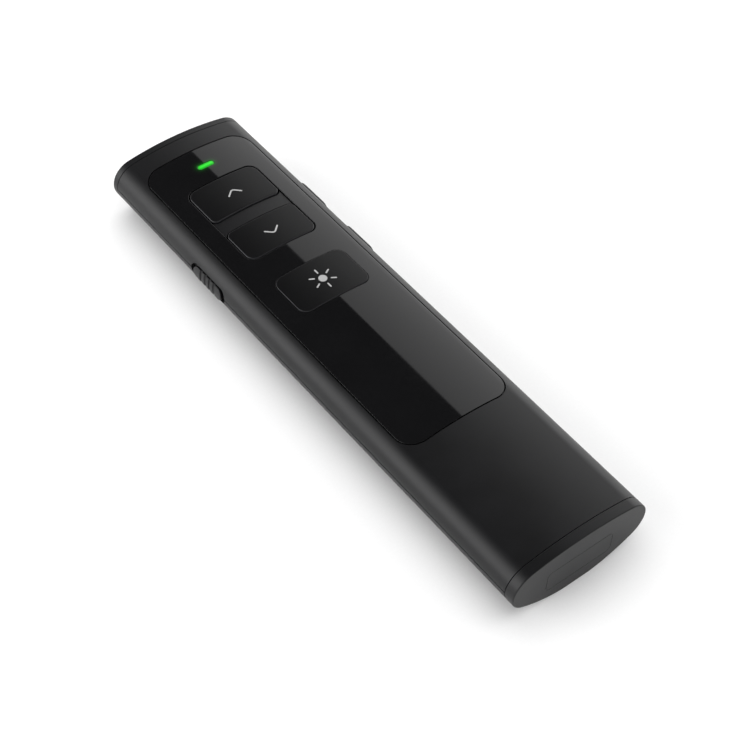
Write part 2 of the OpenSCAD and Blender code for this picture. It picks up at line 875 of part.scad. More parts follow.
module main_board() color(board_green)
    difference() {
        raise(board_z, board_top) tile(board_w, board_y0, board_y1, board_back_r, board_front_r);
        for (p = board_screws) post(p[0], p[1], board_z - over, board_top + over, screw_d + 2 * fit);
    }

module face_switches() color(part_black)
    for (y = [up_y, down_y, laser_y]) translate([0, y, board_top])
        difference() {
            translate([-switch_w / 2, -switch_w / 2, 0]) cube([switch_w, switch_w, switch_h]);
            translate([0, 0, switch_floor]) cylinder(d = plunger_d + 2 * plunger_gap, h = switch_h);
        }

module face_plunger(y) color("#3a3a3e")
    post(0, y, board_top + switch_floor + key_travel + fit / 2, plunger_top, plunger_d);

module page_up_plunger() face_plunger(up_y);
module page_down_plunger() face_plunger(down_y);
module laser_plunger() face_plunger(laser_y);

module side_switches() color(part_black)
    for (y = side_keys_y) difference() {
        block(side_switch_x - side_switch_w, side_switch_x, y - side_switch_l / 2, y + side_switch_l / 2,
              board_top, board_top + switch_h);
        translate([0, y, side_plunger_z])
            across(side_switch_x - side_bore, body_w / 2) circle(d = side_plunger_d + 2 * plunger_gap);
    }

module side_plunger(y) color("#d8d8d4")
    translate([0, y, side_plunger_z])
        across(side_switch_x - side_bore + key_travel + fit / 2, side_plunger_x)
            circle(d = side_plunger_d);

module volume_up_plunger() side_plunger(side_keys_y[0]);
module volume_down_plunger() side_plunger(side_keys_y[1]);

// Slide switch under the board, its lever in a slot of its outer side
module slide_switch() color(steel)
    difference() {
        block(-slide_switch_x, -slide_switch_x + slide_switch_w,
              slider_y - slide_switch_l / 2, slider_y + slide_switch_l / 2,
              board_z - slide_switch_h, board_z);
        translate([0, slider_y, lever_z])
            across(-body_w / 2, -slide_switch_x + lever_in + fit)
                square([lever_w + 2 * (slider_travel + fit), lever_h + fit], center = true);
    }

module switch_lever() color(part_black)
    translate([0, slider_y, lever_z])
        across(-lever_x, -slide_switch_x + lever_in) square([lever_w, lever_h], center = true);

module radio_chip() color(part_black)
    block(0, chip_w, down_y + chip_front, down_y + chip_front + chip_w, board_z - chip_t, board_z);

module clock_crystal() color(steel)
    block(crystal_x, crystal_x + crystal_w, down_y + crystal_front, down_y + crystal_front + crystal_l,
          board_z - crystal_t, board_z);

module status_led() color("#e8e8c8")
    block(-led_w / 2, led_w / 2, light_y - led_l / 2, light_y + led_l / 2, board_top, board_top + led_h);

// Clear pipe from the lamp on the board to the panel's face, with a collar under the shell
module status_light() color("#22e822") {
    intersection() {
        run(light_y - light_w, light_y + light_w) crown();
        raise(board_top + led_h + pipe_gap, body_h) translate([0, light_y])
            pill(light_w, light_l, light_l / 2);
    }
    raise(crown_z(0, wall) - collar_t - fit, crown_z(light_w / 2 + collar, wall) - fit / 2)
        translate([0, light_y]) pill(light_w + 2 * collar, light_l + 2 * collar, collar);
}

// ---- Laser ----

module laser_barrel() color("#b88a44")
    translate([0, 0, laser_z])
        difference() {
            run(laser_y_back, laser_y_front) circle(d = laser_d);
            run(laser_y_back - over, laser_y_back + diode_bore) circle(d = step_d);
            run(laser_y_back, laser_y_front) circle(d = bore_d);
            run(laser_y_front - lens_bore, laser_y_front + over) circle(d = step_d);
        }

module laser_lens() color("#c8dce8")
    translate([0, laser_y_front - lens_bore, laser_z]) rotate([-90, 0, 0])
        intersection() {
            cylinder(d = lens_d, h = lens_t);
            translate([0, 0, lens_t - lens_r]) sphere(r = lens_r);
        }

// Metal can with its cap inside the barrel and three leads under the board
module laser_diode() color(steel)
    translate([0, 0, laser_z]) {
        run(laser_y_back, laser_y_back + flange_l) circle(d = flange_d);
        run(laser_y_back + flange_l - eps, laser_y_back + flange_l + can_l) circle(d = can_d);
        for (x = [-lead_step, 0, lead_step]) translate([x, 0, board_z - laser_z - lead_drop])
            run(board_y1 - lead_l, laser_y_back + eps) circle(d = lead_d);
    }

module laser_window() color("#7a1f1f")
    translate([0, 0, laser_z])
        run(laser_y_front + fit / 2, laser_y_front + window_t) circle(d = window_d);

// ---- Battery and contacts ----

module battery() color("#8a8d90")
    translate([0, 0, battery_z]) {
        run(battery_y0, battery_y1 - button_h) circle(d = battery_d);
        run(battery_y1 - button_h - eps, battery_y1) circle(d = button_d);
    }

module battery_plus_contact() color(gold) {
    block(-contact_w / 2, contact_w / 2, battery_y1, battery_y1 + contact_t,
          battery_z - contact_h / 2, board_z);
    block(-contact_w / 4, contact_w / 4, battery_y1, board_y0 + lug_l, board_z - contact_t, board_z);
}

// Plate behind the spring, with a strip along the battery to the board
module battery_minus_contact() color(steel) {
    block(-contact_w / 2, contact_w / 2, contact_y, contact_y + contact_t,
          battery_z - contact_h / 2, battery_z + contact_h / 2);
    block(-strip_x - contact_t, -contact_w / 2 + eps, contact_y, contact_y + contact_t, strip_z, board_z);
    block(-strip_x - contact_t, -strip_x, contact_y, board_y0 + lug_l, strip_z, board_z);
}

// Conical wire spring: rings of a round wire along a tapering helix
spring_steps = 14 * spring_turns;
spring_sides = 8;
spring_taper = 0.4;
function spring_r(t) = (spring_d - spring_wire) / 2 * (1 - spring_taper * t);
function spring_at(t) = let (a = 360 * spring_turns * t)
    [spring_r(t) * cos(a), spring_wire / 2 + t * (spring_l - spring_wire), spring_r(t) * sin(a)];
function spring_ring(t) = let (a = 360 * spring_turns * t, c = spring_at(t), w = spring_wire / 2)
    [for (k = [0:spring_sides - 1]) let (b = 360 * k / spring_sides)
        c + [w * cos(b) * cos(a), w * sin(b), w * cos(b) * sin(a)]];

module battery_spring() color(steel) {
    points = [for (i = [0:spring_steps]) each spring_ring(i / spring_steps)];
    n = spring_sides;
    first = [for (k = [0:n - 1]) k];
    last = [for (k = [n - 1:-1:0]) spring_steps * n + k];
    walls = [for (i = [0:spring_steps - 1], k = [0:n - 1]) let (j = (k + 1) % n)
        each [[i * n + k, (i + 1) * n + k, (i + 1) * n + j], [i * n + k, (i + 1) * n + j, i * n + j]]];
    translate([0, contact_y + contact_t, battery_z])
        polyhedron(points = points, faces = concat([first], [last], walls));
}

// ---- Fasteners ----

module case_screws() color(steel)
    for (p = case_screws) translate([p[0], p[1], case_head_z]) screw(case_screw_l);

module board_screws() color(steel)
    for (p = board_screws) translate([p[0], p[1], board_z]) screw(board_screw_l);

// ---- Receiver ----

module receiver_cap() color(key_black)
    translate([0, 0, receiver_z])
        run(0, receiver_cap_l) pill(receiver_w, receiver_h, receiver_r);

module receiver_plug() color(steel)
    translate([0, receiver_cap_l, receiver_z])
        difference() {
            run(0, plug_l) pill(plug_w, plug_h, plug_r);
            run(-over, plug_l + over) pill(plug_w - 2 * plug_t, plug_h - 2 * plug_t, plug_inner_r);
            for (x = plug_windows_x)
                block(x - plug_window_w / 2, x + plug_window_w / 2,
                      plug_l - plug_window_front - plug_window_l, plug_l - plug_window_front,
                      -plug_h, plug_h);
        }

module receiver_board() color("#18181a")
    translate([0, receiver_cap_l, receiver_z])
        block(-plug_w / 2 + 2 * plug_t, plug_w / 2 - 2 * plug_t, 0, plug_l - tongue_back,
              tongue_z, plug_h / 2 - plug_t);

module receiver_contacts() color(gold)
    translate([0, receiver_cap_l, receiver_z])
        for (x = pads_x)
            block(x - pad_w / 2, x + pad_w / 2, pads_back, plug_l - pads_front, tongue_z - pad_t, tongue_z);

translate([0, -body_len / 2, 0]) {
    upper_shell();
    lower_shell();
    face_panel();
    front_cap();
    rear_cap();
    battery_door();
    page_up_key();
    page_down_key();
    laser_key();
    volume_up_key();
    volume_down_key();
    power_slider();
    status_light();
    status_led();
    main_board();
    face_switches();
    side_switches();
    page_up_plunger();
    page_down_plunger();
    laser_plunger();
    volume_up_plunger();
    volume_down_plunger();
    slide_switch();
    switch_lever();
    radio_chip();
    clock_crystal();
    laser_barrel();
    laser_lens();
    laser_diode();
    laser_window();
    battery();
    battery_plus_contact();
    battery_minus_contact();
    battery_spring();
    case_screws();
    board_screws();
    receiver_cap();
    receiver_plug();
    receiver_board();
    receiver_contacts();
}
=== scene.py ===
import json
import bmesh
import bpy
import numpy as np
from math import acos, asin, atan2, ceil, cos, degrees, pi, radians, sin, tan
from mathutils import Matrix, Vector
from mathutils.geometry import delaunay_2d_cdt


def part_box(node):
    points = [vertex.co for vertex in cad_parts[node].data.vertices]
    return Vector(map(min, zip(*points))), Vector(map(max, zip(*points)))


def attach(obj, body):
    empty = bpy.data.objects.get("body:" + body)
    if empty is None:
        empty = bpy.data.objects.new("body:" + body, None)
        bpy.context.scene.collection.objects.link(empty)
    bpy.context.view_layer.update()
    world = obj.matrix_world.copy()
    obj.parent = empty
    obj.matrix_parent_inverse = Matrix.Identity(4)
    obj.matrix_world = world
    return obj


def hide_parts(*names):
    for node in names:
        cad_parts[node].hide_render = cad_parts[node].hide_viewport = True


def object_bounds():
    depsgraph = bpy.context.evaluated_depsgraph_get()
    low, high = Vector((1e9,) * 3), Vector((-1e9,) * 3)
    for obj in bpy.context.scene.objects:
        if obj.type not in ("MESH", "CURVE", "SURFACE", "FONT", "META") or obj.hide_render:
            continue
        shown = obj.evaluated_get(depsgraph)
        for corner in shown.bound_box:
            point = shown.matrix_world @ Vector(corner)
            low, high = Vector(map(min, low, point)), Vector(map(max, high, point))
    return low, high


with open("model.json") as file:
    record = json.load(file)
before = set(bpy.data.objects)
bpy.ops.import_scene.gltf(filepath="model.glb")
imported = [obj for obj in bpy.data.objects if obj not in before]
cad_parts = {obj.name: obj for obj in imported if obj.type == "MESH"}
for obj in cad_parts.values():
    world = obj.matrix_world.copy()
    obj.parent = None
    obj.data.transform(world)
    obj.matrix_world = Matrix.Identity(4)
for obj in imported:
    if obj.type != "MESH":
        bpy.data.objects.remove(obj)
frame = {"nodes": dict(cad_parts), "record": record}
cadBounds = [list(corner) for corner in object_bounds()]
mm = 0.001
record = frame["record"]
print("frame loaded:", len(frame["nodes"]), "nodes")


# The lengths of a piece's dictionary, given in millimetres
def lengths(**sizes):
    return {name: size * mm for name, size in sizes.items()}


def unit(rows):
    return rows / np.linalg.norm(rows, axis=1)[:, None]


# sRGB hex to linear: below 0.04045 divide by 12.92, above it ((c + 0.055) / 1.055) to the power 2.4
def linear(hexColour):
    channels = [int(hexColour[i:i + 2], 16) / 255 for i in (1, 3, 5)]
    return [c / 12.92 if c <= 0.04045 else ((c + 0.055) / 1.055) ** 2.4 for c in channels] + [1.0]


# Fills a node's inputs. Each is a value, a socket, or a node that gives its first output
def plug(node, inputs):
    for name, value in inputs.items():
        if isinstance(value, bpy.types.Node):
            value = value.outputs[0]
        if isinstance(value, bpy.types.NodeSocket):
            node.id_data.links.new(value, node.inputs[name])
        else:
            node.inputs[name].default_value = value
    return node


# Adds a node of any kind with its settings, then fills its inputs
def add(tree, kind, inputs=None, **settings):
    node = tree.nodes.new("ShaderNode" + kind)
    for name, value in settings.items():
        setattr(node, name, value)
    return plug(node, inputs or {})


def newMaterial(name):
    material = bpy.data.materials.new(name)
    material.use_nodes = True
    tree = material.node_tree
    tree.nodes.clear()
    return material, tree, add(tree, "TexCoord").outputs


# The end that both kinds of surface share: a relief whose depth is in mm, the shader and the output
def finishSurface(tree, height, depth, inputs):
    bump = add(tree, "Bump", {"Height": height, "Strength": 1.0, "Distance": depth * mm})
    shader = add(tree, "BsdfPrincipled", dict(inputs, Normal=bump))
    add(tree, "OutputMaterial", {"Surface": shader})


# Where the product of two patterns is darkest and lightest
patternEnds = 0.12, 0.42


# Moulded plastic: a fine grain as bump, a cloudy tone and a cloudy roughness from handling. Where rim is
# given, faces that lean away from +Z get a smoother roughness from wear and a painted highlight in the
# rim's lighter tone. Grain is in mm
def mouldedPlastic(name, dark, light, rough, spread, grain, depth, specular=0.5, rim=None):
    material, tree, coords = newMaterial(name)
    cloud = add(tree, "TexNoise", {"Vector": coords["Object"], "Scale": 1 / (9 * mm), "Detail": 3.0,
                                   "Roughness": 0.55})
    speckle = add(tree, "TexNoise", {"Vector": coords["Object"], "Scale": 1 / (grain * mm),
                                     "Detail": 2.0, "Roughness": 0.6})
    mix = add(tree, "Math", {0: cloud, 1: speckle}, operation="MULTIPLY")
    tone = add(tree, "ValToRGB", {"Fac": mix})
    for stop, place, hexTone in zip(tone.color_ramp.elements, patternEnds, (dark, light)):
        stop.position, stop.color = place, linear(hexTone)
    roughness = add(tree, "MapRange", {"Value": cloud, "From Min": 0.3, "From Max": 0.7,
                                       "To Min": rough - spread, "To Max": rough + spread})
    if rim:
        facing = add(tree, "SeparateXYZ", {"Vector": coords["Normal"]}).outputs["Z"]
        rimWearAndHighlight = add(tree, "MapRange", {"Value": facing, "From Min": rim["start"],
                                      "From Max": rim["full"]}, interpolation_type="SMOOTHSTEP")
        # Painted highlight: the rim's lighter tone brightens the edges that lean away from +Z, while the
        # smoother roughness is wear
        tone = add(tree, "Mix", {"Factor": rimWearAndHighlight, "A": tone, "B": linear(rim["tone"])},
                   data_type="RGBA").outputs["Result"]
        roughness = add(tree, "MapRange", {"Value": rimWearAndHighlight, "To Min": rough, "To Max": rim["rough"]})
    finishSurface(tree, speckle, depth, {"Base Color": tone, "Roughness": roughness, "IOR": 1.5,
                                         "Specular IOR Level": specular})
    return material


# Metal with rolling or turning lines: noise stretched along one axis drives tone, roughness and bump.
# Its line width is in mm
def linedMetal(name, dark, light, rough, spread, lineWidth, depth, stretch):
    material, tree, coords = newMaterial(name)
    stretched = add(tree, "Mapping", {"Vector": coords["Object"], "Scale": stretch})
    lines = add(tree, "TexNoise", {"Vector": stretched, "Scale": 1 / (lineWidth * mm), "Detail": 3.0,
                                   "Roughness": 0.6})
    cloud = add(tree, "TexNoise", {"Vector": coords["Object"], "Scale": 1 / (3 * mm), "Detail": 2.0})
    mix = add(tree, "Math", {0: lines, 1: cloud}, operation="MULTIPLY")
    tone = add(tree, "ValToRGB", {"Fac": mix})
    for stop, place, hexTone in zip(tone.color_ramp.elements, patternEnds, (dark, light)):
        stop.position, stop.color = place, linear(hexTone)
    roughness = add(tree, "MapRange", {"Value": mix, "From Min": 0.1, "From Max": 0.45,
                                       "To Min": rough + spread, "To Max": rough - spread})
    finishSurface(tree, lines, depth, {"Base Color": tone, "Roughness": roughness, "Metallic": 1.0})
    return material


# Soft-touch lacquer on moulded ABS: velvety black, no sharp glint, lighter only where it turns away
softTouch = mouldedPlastic("softTouchLacquerOnAbs", "#0b0b0c", "#101012", 0.42, 0.02, 0.09, 0.003,
                           specular=0.30)
# Fine spark-eroded ABS of the keys: darker and a little smoother than the shell, with rims smoothed by
# wear and a painted highlight in a lighter rim tone
keyMatte = mouldedPlastic("sparkErodedBlackAbs", "#050506", "#080809", 0.36, 0.02, 0.07, 0.0015,
                          specular=0.20, rim=dict(tone="#2c2c2e", rough=0.16, start=0.95, full=0.75))
# The same moulding on the side controls, which fingers have polished less
gripMatte = mouldedPlastic("mouldedBlackAbsGrip", "#0b0b0c", "#101012", 0.40, 0.03, 0.08, 0.003,
                           specular=0.30)
# Pad-printed ink: pale grey, dead matt, a trace uneven where the pad lifted
printedInk = mouldedPlastic("padPrintedInk", "#9a9a9a", "#b0b0b0", 0.6, 0.05, 0.05, 0.001)
# Solder mask on glass fibre: satin green with the weave just showing
boardGreen = mouldedPlastic("solderMaskOnGlassFibre", "#0f3d26", "#1d5c3a", 0.32, 0.06, 0.25, 0.004)
# Glass-filled black nylon of switches and chips: chalky, with a coarse fleck
filledNylon = mouldedPlastic("glassFilledNylon", "#18181a", "#2c2c30", 0.55, 0.08, 0.12, 0.004)
# Acetal plungers: waxy off-white
waxyAcetal = mouldedPlastic("whiteAcetal", "#b8b6ae", "#d2d0c8", 0.35, 0.05, 0.3, 0.002)
# Heat-shrunk sleeve of the battery: satin grey film over steel
batterySleeve = mouldedPlastic("shrinkSleevePvc", "#3c4044", "#54585e", 0.28, 0.05, 0.9, 0.006)
# Phosphor lamp body: pale yellow resin
lampResin = mouldedPlastic("phosphorResin", "#c8c48c", "#e6e2b4", 0.3, 0.05, 0.1, 0.002)
# Dark red filter acrylic before the laser: nearly black until the light is behind it
filterAcrylic = mouldedPlastic("darkRedFilterAcrylic", "#1a0506", "#2a090a", 0.06, 0.015, 0.6, 0.00005)
# Moulded lens: clear glass look with a blue-grey coating
coatedLens = mouldedPlastic("coatedLensGlass", "#8fa3b0", "#b4c6d0", 0.05, 0.01, 0.8, 0.00005)
# Nickel-plated rolled steel: bright with fine lines along the strip
nickelSteel = linedMetal("nickelPlatedSteel", "#8e9092", "#c2c4c6", 0.24, 0.06, 0.06, 0.0008,
                         (1.0, 0.05, 1.0))
# Gold flash on copper: warm and soft
goldFlash = linedMetal("goldFlashedCopper", "#b98d3e", "#e0bc6c", 0.28, 0.06, 0.05, 0.0006,
                       (1.0, 0.08, 1.0))
# Turned brass of the laser barrel: rings across its axis
turnedBrass = linedMetal("turnedBrass", "#93702f", "#c9a052", 0.27, 0.07, 0.06, 0.0012,
                         (0.06, 1.0, 0.06))
# Zinc-plated screws: greyer, with a rougher plate
zincSteel = linedMetal("zincPlatedSteel", "#7c8084", "#b4b8bc", 0.34, 0.08, 0.05, 0.0010,
                       (1.0, 1.0, 0.2))

# Besides the pipe's own sizes and glows, this holds the falloff and strength of the painted green glow
# that the panel emits round the light
light = dict(lengths(width=3.5, length=1.05, gap=0.1, rim=0.45, bleed=0.30, edge=0.1, deep=2.0),
             roundness=0.49, middleGlow=0.95, rimGlow=0.60, paintedGlow=0.20)


# How far a point lies outside the light's window, a stadium: the distance to its middle line less its
# radius, as a node
def distanceToLight(tree):
    radius = light["length"] / 2
    split = add(tree, "SeparateXYZ", {"Vector": add(tree, "TexCoord").outputs["Object"]}).outputs
    across = add(tree, "Math", {0: split["X"]}, operation="ABSOLUTE")
    past = add(tree, "Math", {0: across, 1: light["width"] / 2 - radius}, operation="SUBTRACT")
    beside = add(tree, "Math", {0: past, 1: 0.0}, operation="MAXIMUM")
    along = add(tree, "Math", {0: split["Y"], 1: lightY}, operation="SUBTRACT")
    offset = add(tree, "CombineXYZ", {"X": beside, "Y": along})
    length = add(tree, "VectorMath", {0: offset}, operation="LENGTH").outputs["Value"]
    return add(tree, "Math", {0: length, 1: radius}, operation="SUBTRACT")


# Polished black acrylic: a mirror-dark face, and a faint painted green glow round the light that the
# panel itself emits and that falls off as exp(-distance / bleed)
def blackAcrylic():
    material = mouldedPlastic("polishedBlackAcrylic", "#0c0c0d", "#101011", 0.05, 0.012, 0.5, 0.00002)
    tree = material.node_tree
    scaled = add(tree, "Math", {0: distanceToLight(tree), 1: -1 / light["bleed"]},
                 operation="MULTIPLY")
    fall = add(tree, "Math", {0: scaled}, operation="EXPONENT")
    # Painted glow: the panel emits green round the light, standing in for the light's spill onto it
    paintedGlow = add(tree, "Math", {0: fall, 1: light["paintedGlow"]}, operation="MULTIPLY")
    plug(tree.nodes["Principled BSDF"], {"Emission Color": linear("#10c81c"), "Emission Strength": paintedGlow})
    return material


# Milky acrylic pipe lit from below: a flat bright green, a shade deeper at its rim
def litPipe():
    material = mouldedPlastic("litMilkyAcrylic", "#063806", "#0a4a0a", 0.25, 0.03, 0.4, 0.0005)
    tree = material.node_tree
    low, high = light["rimGlow"], light["middleGlow"]
    strength = add(tree, "MapRange", {"Value": distanceToLight(tree), "From Min": -light["rim"],
                                      "From Max": 0.0, "To Min": high, "To Max": low})
    tint = add(tree, "ValToRGB", {"Fac": strength})
    for stop, place, hexTone in zip(tint.color_ramp.elements, (low, high), ("#14d81c", "#2cf032")):
        stop.position, stop.color = place, linear(hexTone)
    plug(tree.nodes["Principled BSDF"], {"Emission Color": tint, "Emission Strength": strength})
    return material


# A CAD node that stays in view wears its slot's finish
finishes = dict(shell=softTouch, keys=keyMatte, side_keys=gripMatte, board=boardGreen,
                switch_body=filledNylon, plungers=waxyAcetal, sheet_steel=nickelSteel,
                gold_contacts=goldFlash, laser_barrel=turnedBrass, lens=coatedLens,
                window=filterAcrylic, lamp=lampResin, battery=batterySleeve, screws=zincSteel,
                receiver=softTouch, panel=softTouch, status_light=lampResin)
slotOf = {part["node"]: part["material_slot"] for part in record["subparts"]}
bodyOf = {node: body for body, nodes in record["behaviour"]["bodies"].items() for node in nodes}
for name, obj in frame["nodes"].items():
    obj.data.materials.clear()
    obj.data.materials.append(finishes[slotOf[name]])
print("materials made")

# The body's section and the places on it

tail, nose = cadBounds[0][1], cadBounds[1][1]
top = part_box("front_cap")[1].z
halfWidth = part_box("lower_shell")[1].x
seam = sum(corner.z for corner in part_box("power_slider")) / 2
section = lengths(crownCorner=4.7, bellyCorner=4.75, bellyDepth=7.45, wall=1.5, rearCap=2.1,
                  frontCap=1.5, edge=0.12, seamEdge=0.04, seamGap=0.09, seamDepth=0.45)
wall = section["wall"]


# Half of the oval: one broad arc between two corner arcs that it meets without a kink, so
# broad = (reach^2 + height^2 - corner^2) / (2 (height - corner)), sin(lean) = reach / (broad - corner)
def halfOval(height, corner, up):
    reach = halfWidth - corner
    broad = (reach ** 2 + height ** 2 - corner ** 2) / (2 * (height - corner))
    lean = asin(reach / (broad - corner))
    return dict(height=height, corner=corner, reach=reach, broad=broad, lean=lean, up=up,
                edge=broad * lean + corner * (pi / 2 - lean))


crown = halfOval(top - seam, section["crownCorner"], 1)
belly = halfOval(section["bellyDepth"], section["bellyCorner"], -1)


# Skin of a half: across is the arc length from the middle, along is y, and deep goes inwards. It gives
# points, outward normals and the two unit tangents; the belly is cut flat where z falls under deep
def skinOf(half):
    def place(across, along, deep):
        bend = half["broad"] * half["lean"]
        far = np.abs(across) > bend
        side = np.where(across < 0, -1.0, 1.0)
        turn = np.where(far, half["lean"] + (np.abs(across) - bend) / half["corner"],
                        np.abs(across) / half["broad"])
        radius = np.where(far, half["corner"], half["broad"]) - deep
        x = side * (np.where(far, half["reach"], 0) + radius * np.sin(turn))
        z = np.where(far, 0, half["height"] - half["broad"]) + radius * np.cos(turn)
        z = seam + half["up"] * z
        zero, one = np.zeros_like(x), np.ones_like(x)
        flat = (z < deep) & (half["up"] < 0)
        z = np.where(flat, deep, z)
        lift, lean = np.where(flat, 1, np.cos(turn)), np.where(flat, 0, side * np.sin(turn))
        return (np.stack([x, along, z], 1), np.stack([lean, zero, half["up"] * lift], 1),
                np.stack([lift, zero, -half["up"] * lean], 1), np.stack([zero, one, zero], 1))
    return place


# Side of the body: along is y, rise is the arc length up from the seam, side is 1 on the right
def skinOfSide(side):
    def place(along, rise, deep):
        corner = np.where(rise > 0, section["crownCorner"], section["bellyCorner"])
        turn = rise / corner
        radius = corner - deep
        zero, one = np.zeros_like(turn), np.ones_like(turn)
        point = np.stack([side * (halfWidth - corner + radius * np.cos(turn)), along + zero,
                          seam + radius * np.sin(turn)], 1)
        return (point, np.stack([side * np.cos(turn), zero, np.sin(turn)], 1),
                np.stack([zero, one, zero], 1), np.stack([-side * np.sin(turn), zero, np.cos(turn)], 1))
    return place


# Flat end of the body at y, in x and z. It looks along y by way, and deep goes the other way
def skinOfEnd(y, way):
    def place(x, z, deep):
        zero, one = np.zeros_like(x), np.ones_like(x)
        return (np.stack([x, y - way * deep * one, z], 1), np.stack([zero, way * one, zero], 1),
                np.stack([one, zero, zero], 1), np.stack([zero, zero, one], 1))
    return place


# A skin that sinks further by dent(a, b) down to the depth where it ends. The normal tilts by the dent's
# slope: up + da * first + db * second
def dented(place, dent, reach):
    nudge = 0.002 * mm

    def sunk(a, b, deep):
        slopes = [(dent(a + da, b + db) - dent(a - da, b - db)) / (2 * nudge)
                  for da, db in ((nudge, 0), (0, nudge))]
        fade = (deep < reach).astype(float)
        point, up, first, second = place(a, b, deep + fade * dent(a, b))
        up = up + (fade * slopes[0])[:, None] * first + (fade * slopes[1])[:, None] * second
        return point, unit(up), first, second
    return sunk


crownSkin, bellySkin = skinOf(crown), skinOf(belly)


# Loops: closed outlines in a skin's two coordinates

# Corners (a, b, radius) joined by straight stretches of at most step mm and by arcs of about 8 degrees a
# step. The arc's centre lies on the bisector at radius / sin(half the corner's angle). It comes with the
# number of the corner that each point follows
def cornerLoop(corners, step):
    count = len(corners)
    arcs = []
    for i, (a, b, radius) in enumerate(corners):
        here = np.array([a, b])
        before = np.array(corners[i - 1][:2]) - here
        after = np.array(corners[(i + 1) % count][:2]) - here
        before, after = before / np.linalg.norm(before), after / np.linalg.norm(after)
        if radius == 0:
            arcs.append(here[None])
            continue
        half = acos(np.clip(before @ after, -1, 1)) / 2
        bisector = (before + after) / np.linalg.norm(before + after)
        centre = here + bisector * radius / sin(half)
        start, stop = here + before * radius / tan(half), here + after * radius / tan(half)
        first = atan2(*(start - centre)[::-1])
        sweep = (atan2(*(stop - centre)[::-1]) - first + pi) % (2 * pi) - pi
        turns = first + sweep * np.linspace(0, 1, max(3, ceil(abs(sweep) / radians(8))) + 1)
        arcs.append(centre + radius * np.stack([np.cos(turns), np.sin(turns)], 1))
    points, marks = [], []
    for i, arc in enumerate(arcs):
        start, stop = arc[-1], arcs[(i + 1) % count][0]
        parts = max(1, ceil(np.linalg.norm(stop - start) / (step * mm)))
        line = start + (stop - start) * (np.arange(1, parts) / parts)[:, None]
        points += [arc, line]
        marks.append(np.full(len(arc) + len(line), i))
    points, marks = np.concatenate(points), np.concatenate(marks)
    apart = np.linalg.norm(points - np.roll(points, 1, 0), axis=1) > 1e-8
    return points[apart], marks[apart]


# Rounded rectangle, counter-clockwise, with one radius at the low end of b and one at the high end
def tileLoop(width, b0, b1, step, r0, r1=None, centre=0.0):
    a0, a1 = centre - width / 2, centre + width / 2
    r1 = r0 if r1 is None else r1
    return cornerLoop([(a0, b0, r0), (a1, b0, r0), (a1, b1, r1), (a0, b1, r1)], step)[0]


def circleLoop(radius, x, z, count=64):
    turn = np.arange(count) / count * 2 * pi
    return np.stack([x + radius * np.cos(turn), z + radius * np.sin(turn)], 1)


# A plan in x and y laid on a half: the arc length over x is broad * asin(x / broad)
def laidOn(half, loop):
    return np.stack([half["broad"] * np.arcsin(loop[:, 0] / half["broad"]), loop[:, 1]], 1)


def reverse(loop):
    return loop[::-1].copy()


# Unit normals to the left of each edge, and the mitred vertex normals (n1 + n2) / (1 + n1 . n2)
def leftNormals(loop):
    along = np.roll(loop, -1, 0) - loop
    edge = unit(np.stack([-along[:, 1], along[:, 0]], 1))
    last = np.roll(edge, 1, 0)
    cosine = (edge * last).sum(1)
    return edge, (edge + last) / (1 + cosine)[:, None], cosine < cos(radians(30))


# True for each point that lies inside the loops by the even-odd rule
def inside(points, loops):
    count = np.zeros(len(points), int)
    for loop in loops:
        a, b = loop, np.roll(loop, -1, 0)
        level = (a[None, :, 1] > points[:, None, 1]) != (b[None, :, 1] > points[:, None, 1])
        rise = np.where(b[:, 1] == a[:, 1], 1, b[:, 1] - a[:, 1])
        cross = a[None, :, 0] + (points[:, None, 1] - a[None, :, 1]) / rise * (b[:, 0] - a[:, 0])
        count += (level & (points[:, None, 0] < cross)).sum(1)
    return count % 2 == 1


# Skins: rings, bands and sheets gathered into one closed mesh with exact normals

def newSkin(place):
    return dict(place=place, points=[], faces=[], normals=[], count=0)


# A loop moved to its left by inset and down to deep. Its material lies on its left
def addRing(skin, loop, inset, deep):
    edge, vertex, sharp = leftNormals(loop)
    moved = loop + inset * vertex
    point, up, first, second = skin["place"](moved[:, 0], moved[:, 1], np.full(len(loop), float(deep)))
    ids = skin["count"] + np.arange(len(loop))
    skin["points"].append(point)
    skin["count"] += len(loop)
    out = []
    for side in (edge, np.roll(edge, 1, 0)):
        n = np.where(sharp[:, None], side, unit(vertex))
        out.append(-(n[:, :1] * first + n[:, 1:] * second))
    return dict(ids=ids, flat=moved, up=up, start=out[0], stop=out[1])


def addFaces(skin, faces, normals):
    skin["faces"].append(faces)
    skin["normals"].append(normals)


# Quads between two rings. A normal is cos(lean) * up + sin(lean) * out, with lean in degrees
def addBand(skin, upper, lower, upperLean, lowerLean):
    i = np.arange(len(upper["ids"]))
    j = np.roll(i, -1)

    def lean(ring, side, k, angle):
        angle = radians(angle)
        return cos(angle) * ring["up"][k] + sin(angle) * ring[side][k]
    addFaces(skin, np.stack([upper["ids"][i], lower["ids"][i], lower["ids"][j], upper["ids"][j]], 1),
             np.stack([lean(upper, "start", i, upperLean), lean(lower, "start", i, lowerLean),
                       lean(lower, "stop", j, lowerLean), lean(upper, "stop", j, upperLean)], 1))


